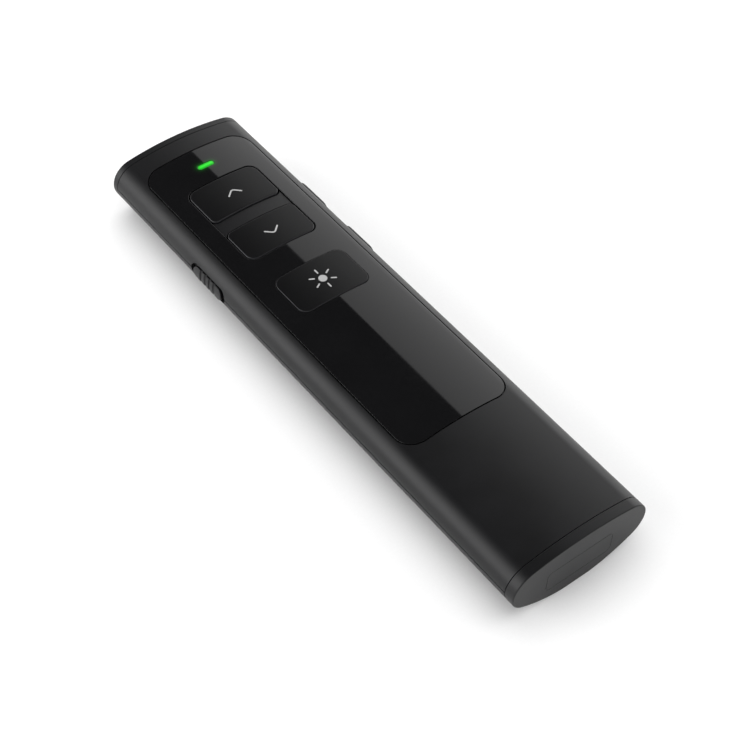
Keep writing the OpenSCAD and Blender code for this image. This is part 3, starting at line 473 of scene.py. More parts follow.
# Triangles that fill rings at one depth, on a grid of step[0] by step[1] mm between them. The plane is
# squeezed by step[0] / step[1] first, because a skin curves across and is straight along
def addSheet(skin, rings, deep, step, facing=1):
    loops = [ring["flat"] for ring in rings]
    step = [size * mm for size in step]
    squeeze = np.array([1, step[0] / step[1]])
    low, high = loops[0].min(0), loops[0].max(0)
    counts = [max(2, ceil((high[k] - low[k]) / step[k])) for k in (0, 1)]
    axes = [low[k] + (high[k] - low[k]) * (np.arange(1, counts[k]) / counts[k]) for k in (0, 1)]
    grid = np.stack([g.ravel() for g in np.meshgrid(*axes)], 1)
    grid = grid[inside(grid, loops)]
    rim = np.concatenate(loops)
    if len(grid):
        away = np.min([np.linalg.norm((grid - p) * squeeze, axis=1) for p in rim], axis=0)
        grid = grid[away > 0.45 * step[0]]
    flat = np.concatenate([rim, grid])
    edges, start = [], 0
    for loop in loops:
        ids = start + np.arange(len(loop))
        edges += np.stack([ids, np.roll(ids, -1)], 1).tolist()
        start += len(loop)
    found = delaunay_2d_cdt([Vector(p) for p in flat * squeeze * 1000], edges, [], 0, 1e-7)
    source = np.array([same[0] if same else -1 for same in found[3]])
    triangles = source[np.array(found[2])]
    triangles = triangles[inside(flat[triangles].mean(1), loops)]
    a, b, c = (flat[triangles[:, k]] for k in range(3))
    turn = (b[:, 0] - a[:, 0]) * (c[:, 1] - a[:, 1]) - (b[:, 1] - a[:, 1]) * (c[:, 0] - a[:, 0])
    triangles[turn * facing < 0] = triangles[turn * facing < 0][:, ::-1]
    point, up, _, _ = skin["place"](flat[:, 0], flat[:, 1], np.full(len(flat), float(deep)))
    ids = np.concatenate([ring["ids"] for ring in rings] + [skin["count"] + np.arange(len(grid))])
    skin["points"].append(point[len(rim):])
    skin["count"] += len(grid)
    addFaces(skin, ids[triangles], facing * up[triangles])


# Points (inset, deep, lean) of a quarter-round edge, or of a quarter ellipse that falls by fall, whose
# lean is atan2(fall * sin(t), radius * cos(t))
def roundEdge(radius, deep=0, steps=4, fall=None):
    fall = fall or radius
    return [(radius * (1 - sin(t)), deep + fall * (1 - cos(t)),
             degrees(atan2(fall * sin(t), radius * cos(t))))
            for t in np.linspace(0, pi / 2, steps + 1)]


# Carries a loop down a chain of (inset, deep, lean) and gives its first and last ring. Two points in
# one place change the lean there and share the ring
def addChain(skin, loop, chain):
    first = ring = addRing(skin, loop, *chain[0][:2])
    for last, new in zip(chain, chain[1:]):
        if last[:2] != new[:2]:
            below = addRing(skin, loop, *new[:2])
            addBand(skin, ring, below, last[2], new[2])
            ring = below
    return first, ring


# Plate on a skin: sheets at the chain's first and last depth, and the chain round each loop. Holes may
# have a chain of their own between the same depths
def addPlate(skin, loops, chain, step, holeChain=None):
    ends = [addChain(skin, loops[0], chain)]
    ends += [addChain(skin, hole, holeChain or chain) for hole in loops[1:]]
    addSheet(skin, [first for first, _ in ends], chain[0][1], step)
    addSheet(skin, [last for _, last in ends], chain[-1][1], step, -1)


# The mesh of one or more skins. Faces turn over where a skin's tangents are left-handed, and vertices
# in one place are joined
def meshOf(*skins):
    points, faces, normals, count = [], [], [], 0
    for skin in skins:
        sample = skin["place"](np.array([1e-4]), np.array([1e-4]), np.zeros(1))
        flipped = np.cross(sample[2][0], sample[3][0]) @ sample[1][0] < 0
        points.append(np.concatenate(skin["points"]))
        for some, their in zip(skin["faces"], skin["normals"]):
            faces.append(some[:, ::-1] + count if flipped else some + count)
            normals.append(their[:, ::-1] if flipped else their)
        count += skin["count"]
    points = np.concatenate(points)
    _, keep, where = np.unique(np.round(points / (0.0005 * mm)), axis=0, return_index=True,
                               return_inverse=True)
    where = where.ravel()
    lists, corners = [], []
    for some, their in zip(faces, normals):
        some = where[some]
        wide = (np.sort(some, 1)[:, 1:] != np.sort(some, 1)[:, :-1]).all(1)
        lists += some[wide].tolist()
        corners.append(their[wide].reshape(-1, 3))
    mesh = bpy.data.meshes.new("skin")
    mesh.from_pydata(points[keep].tolist(), [], lists, shade_flat=False)
    mesh.normals_split_custom_set(unit(np.concatenate(corners)).tolist())
    return mesh


# A piece of a node rides the node's body and wears its slot's finish, unless it is given a material
def addPiece(name, mesh, node, material=None, replaces=True):
    mesh.name = name
    mesh.materials.append(material or finishes[slotOf[node]])
    obj = bpy.data.objects.new(name, mesh)
    bpy.context.scene.collection.objects.link(obj)
    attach(obj, bodyOf[node])
    if replaces:
        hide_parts(node)
    print("made", name, len(mesh.polygons), "faces")
    return obj


def platePiece(name, node, place, loops, chain, step, holeChain=None, material=None):
    skin = newSkin(place)
    addPlate(skin, loops, chain, step, holeChain)
    addPiece(name, meshOf(skin), node, material)


# Casing

panel = lengths(width=23.75, corner=3.8, thick=0.7, gap=0.26, edge=0.04, recessEdge=0.03,
                windowEdge=0.09)
pageKeys = lengths(width=15.6, gap=0.25, corner=2.2, inner=1.5, proud=0.05, edge=0.25, bridgeDrop=0.25,
                   bridgeCut=0.14, bridgeEdge=0.1)
laserKey = lengths(width=15.8, gap=0.1, corner=2.2, proud=0.15, edge=0.15)
faceKeys = lengths(flange=0.6, play=0.1)
sideKeys = lengths(gap=0.07, corner=1.4, flange=0.5, proud=0.5, edge=1.3, fall=0.46, lip=0.05,
                   relief=0.12)
slider = dict(lengths(gap=0.08, length=9.2, height=3.0, travel=0.75, proud=0.25, recess=0.8, edge=0.18,
                      grooveStep=1.4, grooveWidth=0.6), grooves=4, roundness=0.98,
              recessRoundness=0.97)
shellStart, shellEnd = tail + section["rearCap"], nose - section["frontCap"]
panelStart, panelEnd = (corner.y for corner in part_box("face_panel"))
skinStep, flatStep = (0.5, 2.5), (1, 1)


# Where a face key starts and ends along y: its node's box less the flange
def keySpan(node):
    low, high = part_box(node)
    return low.y + faceKeys["flange"], high.y - faceKeys["flange"]


def middle(node, axis):
    low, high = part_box(node)
    return (low[axis] + high[axis]) / 2


upSpan, downSpan, laserSpan = (keySpan(node) for node in ("page_up_key", "page_down_key", "laser_key"))
lightY = middle("status_light", 1)
sliderY = middle("power_slider", 1)
sideKeyYs = [middle("volume_down_key", 1), middle("volume_up_key", 1)]
sideKeySize = [2 * (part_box("volume_up_key")[1][k] - middle("volume_up_key", k) - sideKeys["flange"])
               for k in (1, 2)]
# Name, node, sizes, span, and the window's radii at its low and high end
faceKeyList = [("pageUpKeycap", "page_up_key", pageKeys, upSpan, pageKeys["inner"], pageKeys["corner"]),
               ("pageDownKeycap", "page_down_key", pageKeys, downSpan, pageKeys["corner"],
                pageKeys["inner"]),
               ("laserKeycap", "laser_key", laserKey, laserSpan, laserKey["corner"], laserKey["corner"])]


# A face key's outline from the radii of its window: its own at grow 0, its window's at grow 1
def keyLoop(kind, span, r0, r1, grow, step=0.5):
    out, less = grow * kind["gap"], (1 - grow) * kind["gap"]
    plan = tileLoop(kind["width"] + 2 * out, span[0] - out, span[1] + out, step, r0 - less, r1 - less)
    return laidOn(crown, plan)


def lightLoop(grow):
    width, length = light["width"] + 2 * grow, light["length"] + 2 * grow
    plan = tileLoop(width, lightY - length / 2, lightY + length / 2, 0.3, light["roundness"] * length)
    return laidOn(crown, plan)


# Outline of a shell: the volume keys' windows cut into its right edge, the slider's recess into its
# left edge. It comes with the numbers of the vertices along that recess
def shellLoop(half):
    edge, corner = half["edge"], half["corner"]
    gap = sideKeys["gap"]
    keyRise = corner * asin((sideKeySize[1] / 2 + gap) / corner)
    slideRise = corner * asin((slider["height"] / 2 + slider["gap"]) / corner)
    slideReach = slider["length"] / 2 + slider["travel"] + slider["gap"]
    corners = [(-edge, shellStart, 0), (edge, shellStart, 0)]
    reach, radius = sideKeySize[0] / 2 + gap, sideKeys["corner"] + gap
    for y in sideKeyYs:
        corners += [(edge, y - reach, 0), (edge - keyRise, y - reach, radius),
                    (edge - keyRise, y + reach, radius), (edge, y + reach, 0)]
    corners += [(edge, shellEnd, 0), (-edge, shellEnd, 0)]
    first = len(corners)
    radius = slider["recessRoundness"] * slideRise
    corners += [(-edge, sliderY + slideReach, 0), (-edge + slideRise, sliderY + slideReach, radius),
                (-edge + slideRise, sliderY - slideReach, radius), (-edge, sliderY - slideReach, 0)]
    loop, marks = cornerLoop(corners, 1)
    inRecess = np.flatnonzero((marks >= first) & (marks < first + 3))
    return loop, np.append(inRecess, inRecess[-1] + 1)


# A shell from its skin down to the wall's inside. Pockets is a list of (loop, depth, windows in it),
# holes the loops that go straight through
def addShell(skin, half, pockets, holes):
    loop, recess = shellLoop(half)
    gap, sunk, deep = section["seamGap"], section["seamDepth"], slider["recess"]
    rim = [(inset + gap, depth, lean) for inset, depth, lean in roundEdge(section["seamEdge"])]
    outer = addChain(skin, loop, rim + [(gap, sunk, 90), (gap, sunk, 0), (0, sunk, 0), (0, sunk, 90),
                                        (0, deep, 90)])[0]
    # The seam line across the slider's recess closes the recess's floor and carries on the wall
    start, stop = loop[recess[0]], loop[recess[-1]]
    line = start + (stop - start) * (np.arange(1, 12) / 12)[:, None]
    kept = np.arange(recess[-1], recess[0] + len(loop) + 1) % len(loop)
    bottom = addChain(skin, np.concatenate([loop[kept], line]), [(0, deep, 90), (0, wall, 90)])[1]
    around = np.concatenate([loop[recess], line[::-1]])
    addSheet(skin, [addRing(skin, around, 0, deep)], deep, (0.4, 1))
    tops, bottoms = [outer], [bottom]
    for pocket, depth, windows in pockets:
        first, last = addChain(skin, reverse(pocket), roundEdge(panel["recessEdge"]) + [(0, depth, 90)])
        ends = [addChain(skin, reverse(w), [(0, depth, 90), (0, wall, 90)]) for w in windows]
        addSheet(skin, [last] + [end[0] for end in ends], depth, skinStep)
        tops.append(first)
        bottoms += [end[1] for end in ends]
    for hole in holes:
        first, last = addChain(skin, reverse(hole), roundEdge(section["edge"]) + [(0, wall, 90)])
        tops.append(first)
        bottoms.append(last)
    addSheet(skin, tops, 0, skinStep)
    addSheet(skin, bottoms, wall, skinStep, -1)


# The bridge fills the space between the two windows, with a hollow arc round each of their corners. It
# ends short of the panel's edge by cut, where cos(turn) = 1 - cut / radius
def bridgeLoop():
    gap, radius, cut = pageKeys["gap"], pageKeys["inner"], pageKeys["bridgeCut"]
    reach = pageKeys["width"] / 2 + gap - radius
    turn = np.linspace(acos(1 - cut / radius), pi / 2, 9)
    across, fall = reach + radius * np.cos(turn), radius * (1 - np.sin(turn))
    middleLine = np.linspace(-reach, reach, 26)[1:-1]
    x = np.concatenate([-across, middleLine, across[::-1]])
    drop = np.concatenate([fall, 0 * middleLine, fall[::-1]])
    lower = np.stack([x, downSpan[1] + gap - drop], 1)
    upper = np.stack([x, upSpan[0] - gap + drop], 1)
    return np.concatenate([lower, upper[::-1]])


def makeUpperShell():
    skin, bridge = newSkin(crownSkin), newSkin(crownSkin)
    gap = panel["gap"]
    recess = laidOn(crown, tileLoop(panel["width"] + 2 * gap, panelStart - gap, panelEnd + gap, 0.7,
                                    panel["corner"] + gap))
    windows = [keyLoop(*key[2:], 1) for key in faceKeyList] + [lightLoop(light["gap"])]
    addShell(skin, crown, [(recess, panel["thick"], windows)], [])
    addPlate(bridge, [laidOn(crown, bridgeLoop())],
             roundEdge(pageKeys["bridgeEdge"], pageKeys["bridgeDrop"])
             + [(0, panel["thick"] + pageKeys["bridgeEdge"], 90)], (0.5, 1))
    addPiece("upperShellSkin", meshOf(skin, bridge), "upper_shell")


door = lengths(width=20.4, gap=0.15, corner=2.5, backCorner=0.6, tabs=1.1, bayRadius=5.5, nailRadius=5,
               nailWidth=7, nailDepth=0.4, nailBack=3, nailSide=0.25)
doorStart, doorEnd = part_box("battery_door")[0].y + door["tabs"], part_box("battery_door")[1].y


def doorLoop(grow):
    return laidOn(belly, tileLoop(door["width"] + 2 * grow, doorStart - grow, doorEnd + grow, 0.6,
                                  door["backCorner"] + grow, door["corner"] + grow))


def makeLowerShell():
    skin = newSkin(bellySkin)
    addShell(skin, belly, [], [doorLoop(door["gap"])])
    addPiece("lowerShellSkin", meshOf(skin), "lower_shell")


# The nail hollow is a cylinder's cap that sinks by sqrt(r^2 - (y - middle)^2) - (r - depth). Inside, the
# door gives way to the battery's bay: z = axis - sqrt(bay^2 - x^2)
def makeDoor():
    axis, bay = middle("battery", 2), door["bayRadius"]

    def hollow(across, along):
        arc = door["nailRadius"] ** 2 - (along - doorEnd + door["nailBack"]) ** 2
        sunk = np.sqrt(np.clip(arc, 0, None)) - (door["nailRadius"] - door["nailDepth"])
        side = np.clip((door["nailWidth"] / 2 - np.abs(across)) / door["nailSide"], 0, 1)
        return np.clip(sunk, 0, None) * side
    outside = dented(bellySkin, hollow, section["edge"])

    def place(across, along, deep):
        point, up, first, second = outside(across, along, deep)
        x, z = point[:, 0], point[:, 2] - axis
        inBay = ((deep > 0.9 * wall) & (x ** 2 + z ** 2 < bay ** 2))[:, None]
        low = np.sqrt(np.clip(bay ** 2 - x ** 2, 0, None))
        point = np.where(inBay, np.stack([x, point[:, 1], axis - low], 1), point)
        return point, np.where(inBay, np.stack([x / bay, 0 * x, -low / bay], 1), up), first, second
    platePiece("batteryDoorSkin", "battery_door", place, [doorLoop(0)],
               roundEdge(section["edge"]) + [(0, wall, 90)], (0.3, 0.5))


def makePanel():
    outer = tileLoop(panel["width"], panelStart, panelEnd, 0.7, panel["corner"])
    corner = pageKeys["corner"]
    holes = [keyLoop(pageKeys, (downSpan[0], upSpan[1]), corner, corner, 1),
             keyLoop(*faceKeyList[2][2:], 1), lightLoop(light["gap"])]
    loops = [laidOn(crown, outer)] + [reverse(hole) for hole in holes]
    down = [(0, panel["thick"], 90)]
    platePiece("facePanelSkin", "face_panel", crownSkin, loops, roundEdge(panel["edge"]) + down,
               skinStep, roundEdge(panel["windowEdge"]) + down, blackAcrylic())


# A face key goes down through its window to a flange that is wider than it
def makeFaceKeys():
    flange, under = faceKeys["flange"], wall + faceKeys["play"]
    chain = [(0, under, 90), (0, under, 0), (-flange, under, 0), (-flange, under, 90),
             (-flange, under + flange, 90)]
    for name, node, kind, span, r0, r1 in faceKeyList:
        platePiece(name, node, crownSkin, [keyLoop(kind, span, r0, r1, 0, 0.4)],
                   roundEdge(kind["edge"], -kind["proud"], 6) + chain, (0.4, 0.8))


def makeSideKeys():
    corner = section["crownCorner"]
    rise = corner * asin(sideKeySize[1] / 2 / corner)
    lip, relief = sideKeys["lip"], sideKeys["relief"]
    chain = roundEdge(sideKeys["edge"], -sideKeys["proud"], 8, sideKeys["fall"]) + [
        (0, lip, 90), (0, lip, 180), (relief, lip, 180), (relief, lip, 90), (relief, wall, 90)]
    for (name, node), y in zip((("volumeDownKeycap", "volume_down_key"),
                                ("volumeUpKeycap", "volume_up_key")), sideKeyYs):
        loop = tileLoop(sideKeySize[0], -rise, rise, 0.4, sideKeys["corner"], centre=y)
        platePiece(name, node, skinOfSide(1), [loop], chain, (0.4, 0.4))


# Section of a cap at an inset: the crown's loop at that depth, then the belly's, as x and z
def ovalLoop(inset):
    halves = []
    for half, skin, side in ((crown, crownSkin, -1), (belly, bellySkin, 1)):
        across = np.linspace(side * half["edge"], -side * half["edge"], 181)[:-1]
        halves.append(skin(across, 0 * across, np.full(len(across), inset))[0])
    return np.concatenate(halves)[:, [0, 2]]


cap = lengths(edge=0.22, seamEdge=0.12)
receiver = lengths(width=14.6, height=4.9, corner=0.9, gap=0.05, edge=0.04, length=6.2, bayWall=0.7,
                   bayWider=1.2, plugWidth=12, plugHeight=4.5, plugCorner=0.6, plugLength=12.2)
receiverZ = middle("receiver_cap", 2)


def receiverLoop(grow, width=receiver["width"], height=receiver["height"], corner=None):
    height += 2 * grow
    return tileLoop(width + 2 * grow, receiverZ - height / 2, receiverZ + height / 2, 0.6,
                    corner or receiver["corner"] + grow)


# A cap is an oval plate: its face and its back are flat, its rim follows the oval at every inset
def addCap(skin, thick, holes, backHoles):
    back = [(inset, thick - deep, 180 - lean) for inset, deep, lean in roundEdge(cap["seamEdge"])[::-1]]
    first, last = addChain(skin, reverse(ovalLoop(0)), roundEdge(cap["edge"]) + back)
    addSheet(skin, [first] + holes, 0, flatStep)
    addSheet(skin, [last] + backHoles, thick, flatStep, -1)


def makeRearCap():
    skin = newSkin(skinOfEnd(tail, -1))
    gap, thick = receiver["gap"], section["rearCap"]
    step, deep = receiver["length"] + gap, receiver["length"] + receiver["plugLength"] + 2 * gap
    end = deep + receiver["bayWall"]
    plugBay = reverse(receiverLoop(gap, receiver["plugWidth"], receiver["plugHeight"],
                                   receiver["plugCorner"]))
    bay = receiverLoop(gap + receiver["bayWall"], receiver["plugWidth"] + receiver["bayWider"],
                       receiver["plugHeight"], receiver["corner"])
    face, ledge = addChain(skin, reverse(receiverLoop(gap)),
                           roundEdge(receiver["edge"]) + [(0, step, 90)])
    plugTop, plugEnd = addChain(skin, plugBay, [(0, step, 90), (0, deep, 90)])
    addSheet(skin, [ledge, plugTop], step, flatStep)
    addSheet(skin, [plugEnd], deep, flatStep)
    root, bayEnd = addChain(skin, bay, [(0, thick, 90), (0, end, 90)])
    addSheet(skin, [bayEnd], end, flatStep, -1)
    addCap(skin, thick, [face], [root])
    addPiece("rearCapSkin", meshOf(skin), "rear_cap")


laser = lengths(aperture=3.2, edge=0.15, window=4.5, windowBack=0.8, bore=5.1, seat=6.8, seatLength=2.2)


# The nose's hole widens to the window's seat, then to the barrel's bore in a tube behind the cap
def makeFrontCap():
    skin = newSkin(skinOfEnd(nose, 1))
    z, thick, ledgeAt = middle("laser_barrel", 2), section["frontCap"], laser["windowBack"]
    back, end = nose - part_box("laser_barrel")[1].y, thick + laser["seatLength"]

    def tube(size, chain, outward=False):
        circle = circleLoop(laser[size] / 2, 0, z)
        return addChain(skin, circle if outward else reverse(circle), chain)
    face, ledge = tube("aperture", roundEdge(laser["edge"]) + [(0, ledgeAt, 90)])
    wideTop, wideEnd = tube("window", [(0, ledgeAt, 90), (0, back, 90)])
    addSheet(skin, [wideTop, ledge], ledgeAt, flatStep, -1)
    boreTop, boreEnd = tube("bore", [(0, back, 90), (0, end, 90)])
    addSheet(skin, [boreTop, wideEnd], back, flatStep, -1)
    seatRoot, seatEnd = tube("seat", [(0, thick, 90), (0, end, 90)], True)
    addSheet(skin, [seatEnd, boreEnd], end, flatStep, -1)
    addCap(skin, thick, [face], [seatRoot])
    addPiece("frontCapSkin", meshOf(skin), "front_cap")


def makeReceiverCap():
    platePiece("receiverCapSkin", "receiver_cap", skinOfEnd(tail, -1), [receiverLoop(0)],
               roundEdge(receiver["edge"]) + [(0, receiver["length"], 90)], flatStep)


def makeLight():
    platePiece("statusLightPipe", "status_light", crownSkin, [lightLoop(0)],
               roundEdge(light["edge"]) + [(0, light["deep"], 90)], (0.4, 0.4), material=litPipe())


# Knob of the slider: a groove sinks by sqrt((w / 2)^2 - (y - centre)^2)
def makeSlider():
    half, corner, recess = slider["grooveWidth"] / 2, section["crownCorner"], slider["recess"]
    count = slider["grooves"]
    centres = sliderY + (np.arange(count) - (count - 1) / 2) * slider["grooveStep"]

    def groove(along, rise):
        away = np.abs(along[:, None] - centres).min(1)
        return np.sqrt(np.clip(half ** 2 - away ** 2, 0, None))
    rise = corner * asin(slider["height"] / 2 / corner)
    loop = tileLoop(slider["length"], -rise, rise, 0.06, slider["roundness"] * rise, centre=sliderY)
    platePiece("powerSliderKnob", "power_slider", dented(skinOfSide(-1), groove, recess / 2), [loop],
               roundEdge(slider["edge"], -slider["proud"]) + [(0, recess - slider["gap"], 90)],
               (0.06, 0.3))


# Marks printed on the face keys

marks = dict(lengths(stroke=0.31, thick=0.015, sunk=0.02, chevron=1.45, rise=1.3, upShift=0.65,
                     downShift=-0.95, sunShift=0.1, dot=0.85, rayStart=1.62, rayEnd=2.5),
             bend=0.28, rays=6)


# Outline of a round-ended stroke through points: the path moved to either side by half its width, with
# mitred corners, and a half circle of 8 steps at each end
def strokeLoop(points):
    points, half = np.array(points, float), marks["stroke"] / 2
    along = unit(np.diff(points, axis=0))
    left = np.stack([-along[:, 1], along[:, 0]], 1)
    first, last = np.concatenate([left[:1], left]), np.concatenate([left, left[-1:]])
    mitre = (first + last) / (1 + (first * last).sum(1))[:, None] * half

    def halfRound(centre, start):
        angle = atan2(start[1], start[0]) - np.linspace(0, pi, 9)[1:-1]
        return centre + half * np.stack([np.cos(angle), np.sin(angle)], 1)
    return reverse(np.concatenate([points + mitre, halfRound(points[-1], left[-1]),
                                   (points - mitre)[::-1], halfRound(points[0], -left[0])]))


# Legs to an apex whose corner is a parabola from bend to bend of the legs:
# (1 - t)^2 start + 2 t (1 - t) apex + t^2 stop
def chevron(apex, rise):
    reach = marks["chevron"]
    ends, tip = np.array([(-reach, apex - rise), (reach, apex - rise)]), np.array([0, apex])
    start, stop = tip + marks["bend"] * (ends - tip)
    t = np.linspace(0, 1, 7)[:, None]
    return strokeLoop(np.concatenate([ends[:1], (1 - t) ** 2 * start + 2 * t * (1 - t) * tip
                                      + t ** 2 * stop, ends[1:]]))


def makeMark(name, node, proud, loops):
    skin = newSkin(crownSkin)
    level = -proud - marks["thick"]
    for loop in loops:
        addPlate(skin, [laidOn(crown, loop)], [(0, level, 0), (0, level, 90),
                                               (0, level + marks["thick"] + marks["sunk"], 90)],
                 (0.3, 0.3))
    addPiece(name, meshOf(skin), node, printedInk, replaces=False)


def makeMarks():
    for name, node, span, way, shift in (("pageUpMark", "page_up_key", upSpan, 1, marks["upShift"]),
                                         ("pageDownMark", "page_down_key", downSpan, -1,
                                          marks["downShift"])):
        makeMark(name, node, pageKeys["proud"], [chevron(sum(span) / 2 + shift, way * marks["rise"])])
    centre = np.array([marks["sunShift"], sum(laserSpan) / 2])
    loops = [circleLoop(marks["dot"], *centre, 32)]
    for ray in range(marks["rays"]):
        angle = pi / 2 + ray * 2 * pi / marks["rays"]
        way = np.array([cos(angle), sin(angle)])
        loops.append(strokeLoop([centre + marks["rayStart"] * way, centre + marks["rayEnd"] * way]))
    makeMark("laserMark", "laser_key", laserKey["proud"], loops)


# Inner pieces

# A copy of a node's solid, its doubles merged and its flat faces joined
def mergedCopy(node):
    shape = bmesh.new()
    shape.from_mesh(frame["nodes"][node].data)
    bmesh.ops.remove_doubles(shape, verts=shape.verts, dist=0.0005 * mm)
    bmesh.ops.dissolve_limit(shape, angle_limit=radians(0.5), verts=shape.verts, edges=shape.edges)
    mesh = bpy.data.meshes.new(node)
    shape.to_mesh(mesh)
    shape.free()
    return mesh


def finishEdges(mesh):
    mesh.materials.clear()
    mesh.shade_smooth()
    mesh.set_sharp_from_angle(angle=radians(30))


# Faces between each ring of vertex numbers and the next. A ring that is one vertex closes the piece
def ringFaces(rings):
    faces = []
    for a, b in zip(rings, rings[1:]):
        quads = np.stack([a, np.roll(a, -1), np.roll(b, -1), b], 1)
        faces += (quads[:, 1:] if a[0] == a[1] else quads[:, :3] if b[0] == b[1] else quads).tolist()
    return faces


# A turned piece: profile points (radius, y) carried round the axis through x = 0 at a height. A radius
# of 0 is one point on the axis
def turnedMesh(profile, z, count=72):
    points, rings, ids = [], [], 0
    for radius, y in profile:
        points.append(np.array([[0, y, z]]) if radius == 0
                      else np.insert(circleLoop(radius, 0, z, count), 1, y, axis=1))
        rings.append(ids + np.arange(count) * (radius != 0))
        ids += len(points[-1])
    mesh = bpy.data.meshes.new("turned")
    mesh.from_pydata(np.concatenate(points).tolist(), [], ringFaces(rings), shade_flat=False)
    mesh.set_sharp_from_angle(angle=radians(35))
    return mesh


battery = lengths(rim=0.35, button=1.0, buttonRadius=1.9, buttonRim=0.3, buttonFoot=0.4, sleeveLip=1.1,
                  sleeve=0.06, step=0.05, under=0.2, dish=0.02, backDish=0.12, backSlope=0.4,
                  frontDish=0.15, frontSlope=0.3)


# Quarter circle of points (radius, y) from one end of a corner to the other
def corner(radius, y, size, first, second):
    return [(radius + size * (first[0] * cos(t) + second[0] * sin(t)),
             y + size * (first[1] * cos(t) + second[1] * sin(t)))
            for t in np.linspace(0, pi / 2, 5)]


# Steel can whose ends show inside the lip of its sleeve, and the button in front
def makeBattery():
    low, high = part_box("battery")
    radius, z = (high.x - low.x) / 2, (low.z + high.z) / 2
    rim, step, film = battery["rim"], battery["step"], 2 * battery["sleeve"]
    lip, inner = radius - battery["sleeveLip"], radius - battery["under"]
    front, button, buttonRim = high.y - battery["button"], battery["buttonRadius"], battery["buttonRim"]
    can = [(0, low.y + battery["backDish"]), (lip - battery["backSlope"], low.y + battery["backDish"]),
           (lip, low.y + battery["dish"]), (inner, low.y + step), (inner, front - step),
           (lip, front - battery["dish"]), (lip - battery["frontSlope"], front - battery["frontDish"]),
           (button + battery["buttonFoot"], front - battery["frontDish"]), (button, front - step)]
    can += corner(button - buttonRim, high.y - buttonRim, buttonRim, (1, 0), (0, 1)) + [(0, high.y)]
    addPiece("batteryCan", turnedMesh(can, z), "battery", nickelSteel)
    sleeve = [(lip, low.y + step), (lip, low.y)]
    sleeve += corner(radius - rim, low.y + rim, rim, (0, -1), (1, 0))
    sleeve += corner(radius - rim, front - rim, rim, (1, 0), (0, 1))
    sleeve += [(lip, front), (lip, front - step), (radius - film, front - 1.5 * film),
               (radius - film, low.y + 1.5 * film), sleeve[0]]
    addPiece("batterySleeve", turnedMesh(sleeve, z), "battery", replaces=False)


spring = dict(lengths(wire=0.5, radius=3.25), turns=2.5, taper=0.4, sides=12, steps=28, flat=0.12)


# Conical wire: a circle of the wire's radius carried along a helix whose radius falls with its length.
# Its last turn lies flat against the battery and its first against the plate
def makeSpring():
    low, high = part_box("battery_spring")
    part = np.linspace(0, 1, int(spring["turns"] * spring["steps"]) + 1)
    angle = 2 * pi * spring["turns"] * part
    radius = spring["radius"] * (1 - spring["taper"] * part)
    wire, sides = spring["wire"] / 2, spring["sides"]
    rise = np.clip((part - spring["flat"]) / (1 - 2 * spring["flat"]), 0, 1)
    centre = np.stack([radius * np.cos(angle), low.y + wire + rise * (high.y - low.y - 2 * wire),
                       middle("battery", 2) + radius * np.sin(angle)], 1)
    along = unit(np.gradient(centre, axis=0))
    out = np.stack([np.cos(angle), 0 * angle, np.sin(angle)], 1)
    out = unit(out - (out * along).sum(1)[:, None] * along)
    turn = np.arange(sides) / sides * 2 * pi
    points = centre[:, None] + wire * (np.cos(turn)[None, :, None] * out[:, None]
                                       + np.sin(turn)[None, :, None] * np.cross(along, out)[:, None])
    rings = np.arange(len(part) * sides).reshape(len(part), sides)
    mesh = bpy.data.meshes.new("wire")
    mesh.from_pydata(points.reshape(-1, 3).tolist(), [],
                     ringFaces(rings) + [rings[0][::-1].tolist(), rings[-1].tolist()], shade_flat=False)
    mesh.set_sharp_from_angle(angle=radians(50))
    addPiece("batterySpringWire", mesh, "battery_spring")


# Node, its piece's name and its softened edge in mm
innerPieces = [
    ("main_board", "circuitBoard", 0.06), ("radio_chip", "radioChip", 0.08),
    ("clock_crystal", "crystalCan", 0.25), ("status_led", "statusLamp", 0.06),
    ("face_switches", "faceSwitchBodies", 0.10), ("side_switches", "sideSwitchBodies", 0.10),
    ("page_up_plunger", "pageUpPlunger", 0.12), ("page_down_plunger", "pageDownPlunger", 0.12),
    ("laser_plunger", "laserPlunger", 0.12), ("volume_up_plunger", "volumeUpPlunger", 0.10),
    ("volume_down_plunger", "volumeDownPlunger", 0.10), ("slide_switch", "slideSwitchCan", 0.10),
    ("switch_lever", "slideSwitchLever", 0.08), ("laser_barrel", "laserBarrel", 0.12),
    ("laser_lens", "laserLens", 0.05), ("laser_diode", "laserDiode", 0.05),
    ("laser_window", "laserWindow", 0.08), ("battery_plus_contact", "batteryPlusContact", 0.06),
    ("battery_minus_contact", "batteryMinusContact", 0.06), ("case_screws", "caseScrews", 0.08),
    ("board_screws", "boardScrews", 0.08), ("receiver_plug", "receiverPlugShell", 0.06),
    ("receiver_board", "receiverTongue", 0.08), ("receiver_contacts", "receiverContactPads", 0.04)]


# The receiver's board is moulded over, so it wears the switches' nylon
def makeInnerPieces():
    for node, name, edge in innerPieces:
        mesh = mergedCopy(node)
        finishEdges(mesh)
        obj = addPiece(name, mesh, node, filledNylon if node == "receiver_board" else None)
        bevel = obj.modifiers.new("softEdge", "BEVEL")
        bevel.width, bevel.segments = edge * mm, 2
        bevel.limit_method, bevel.angle_limit = "ANGLE", radians(32)
        bevel.harden_normals = True


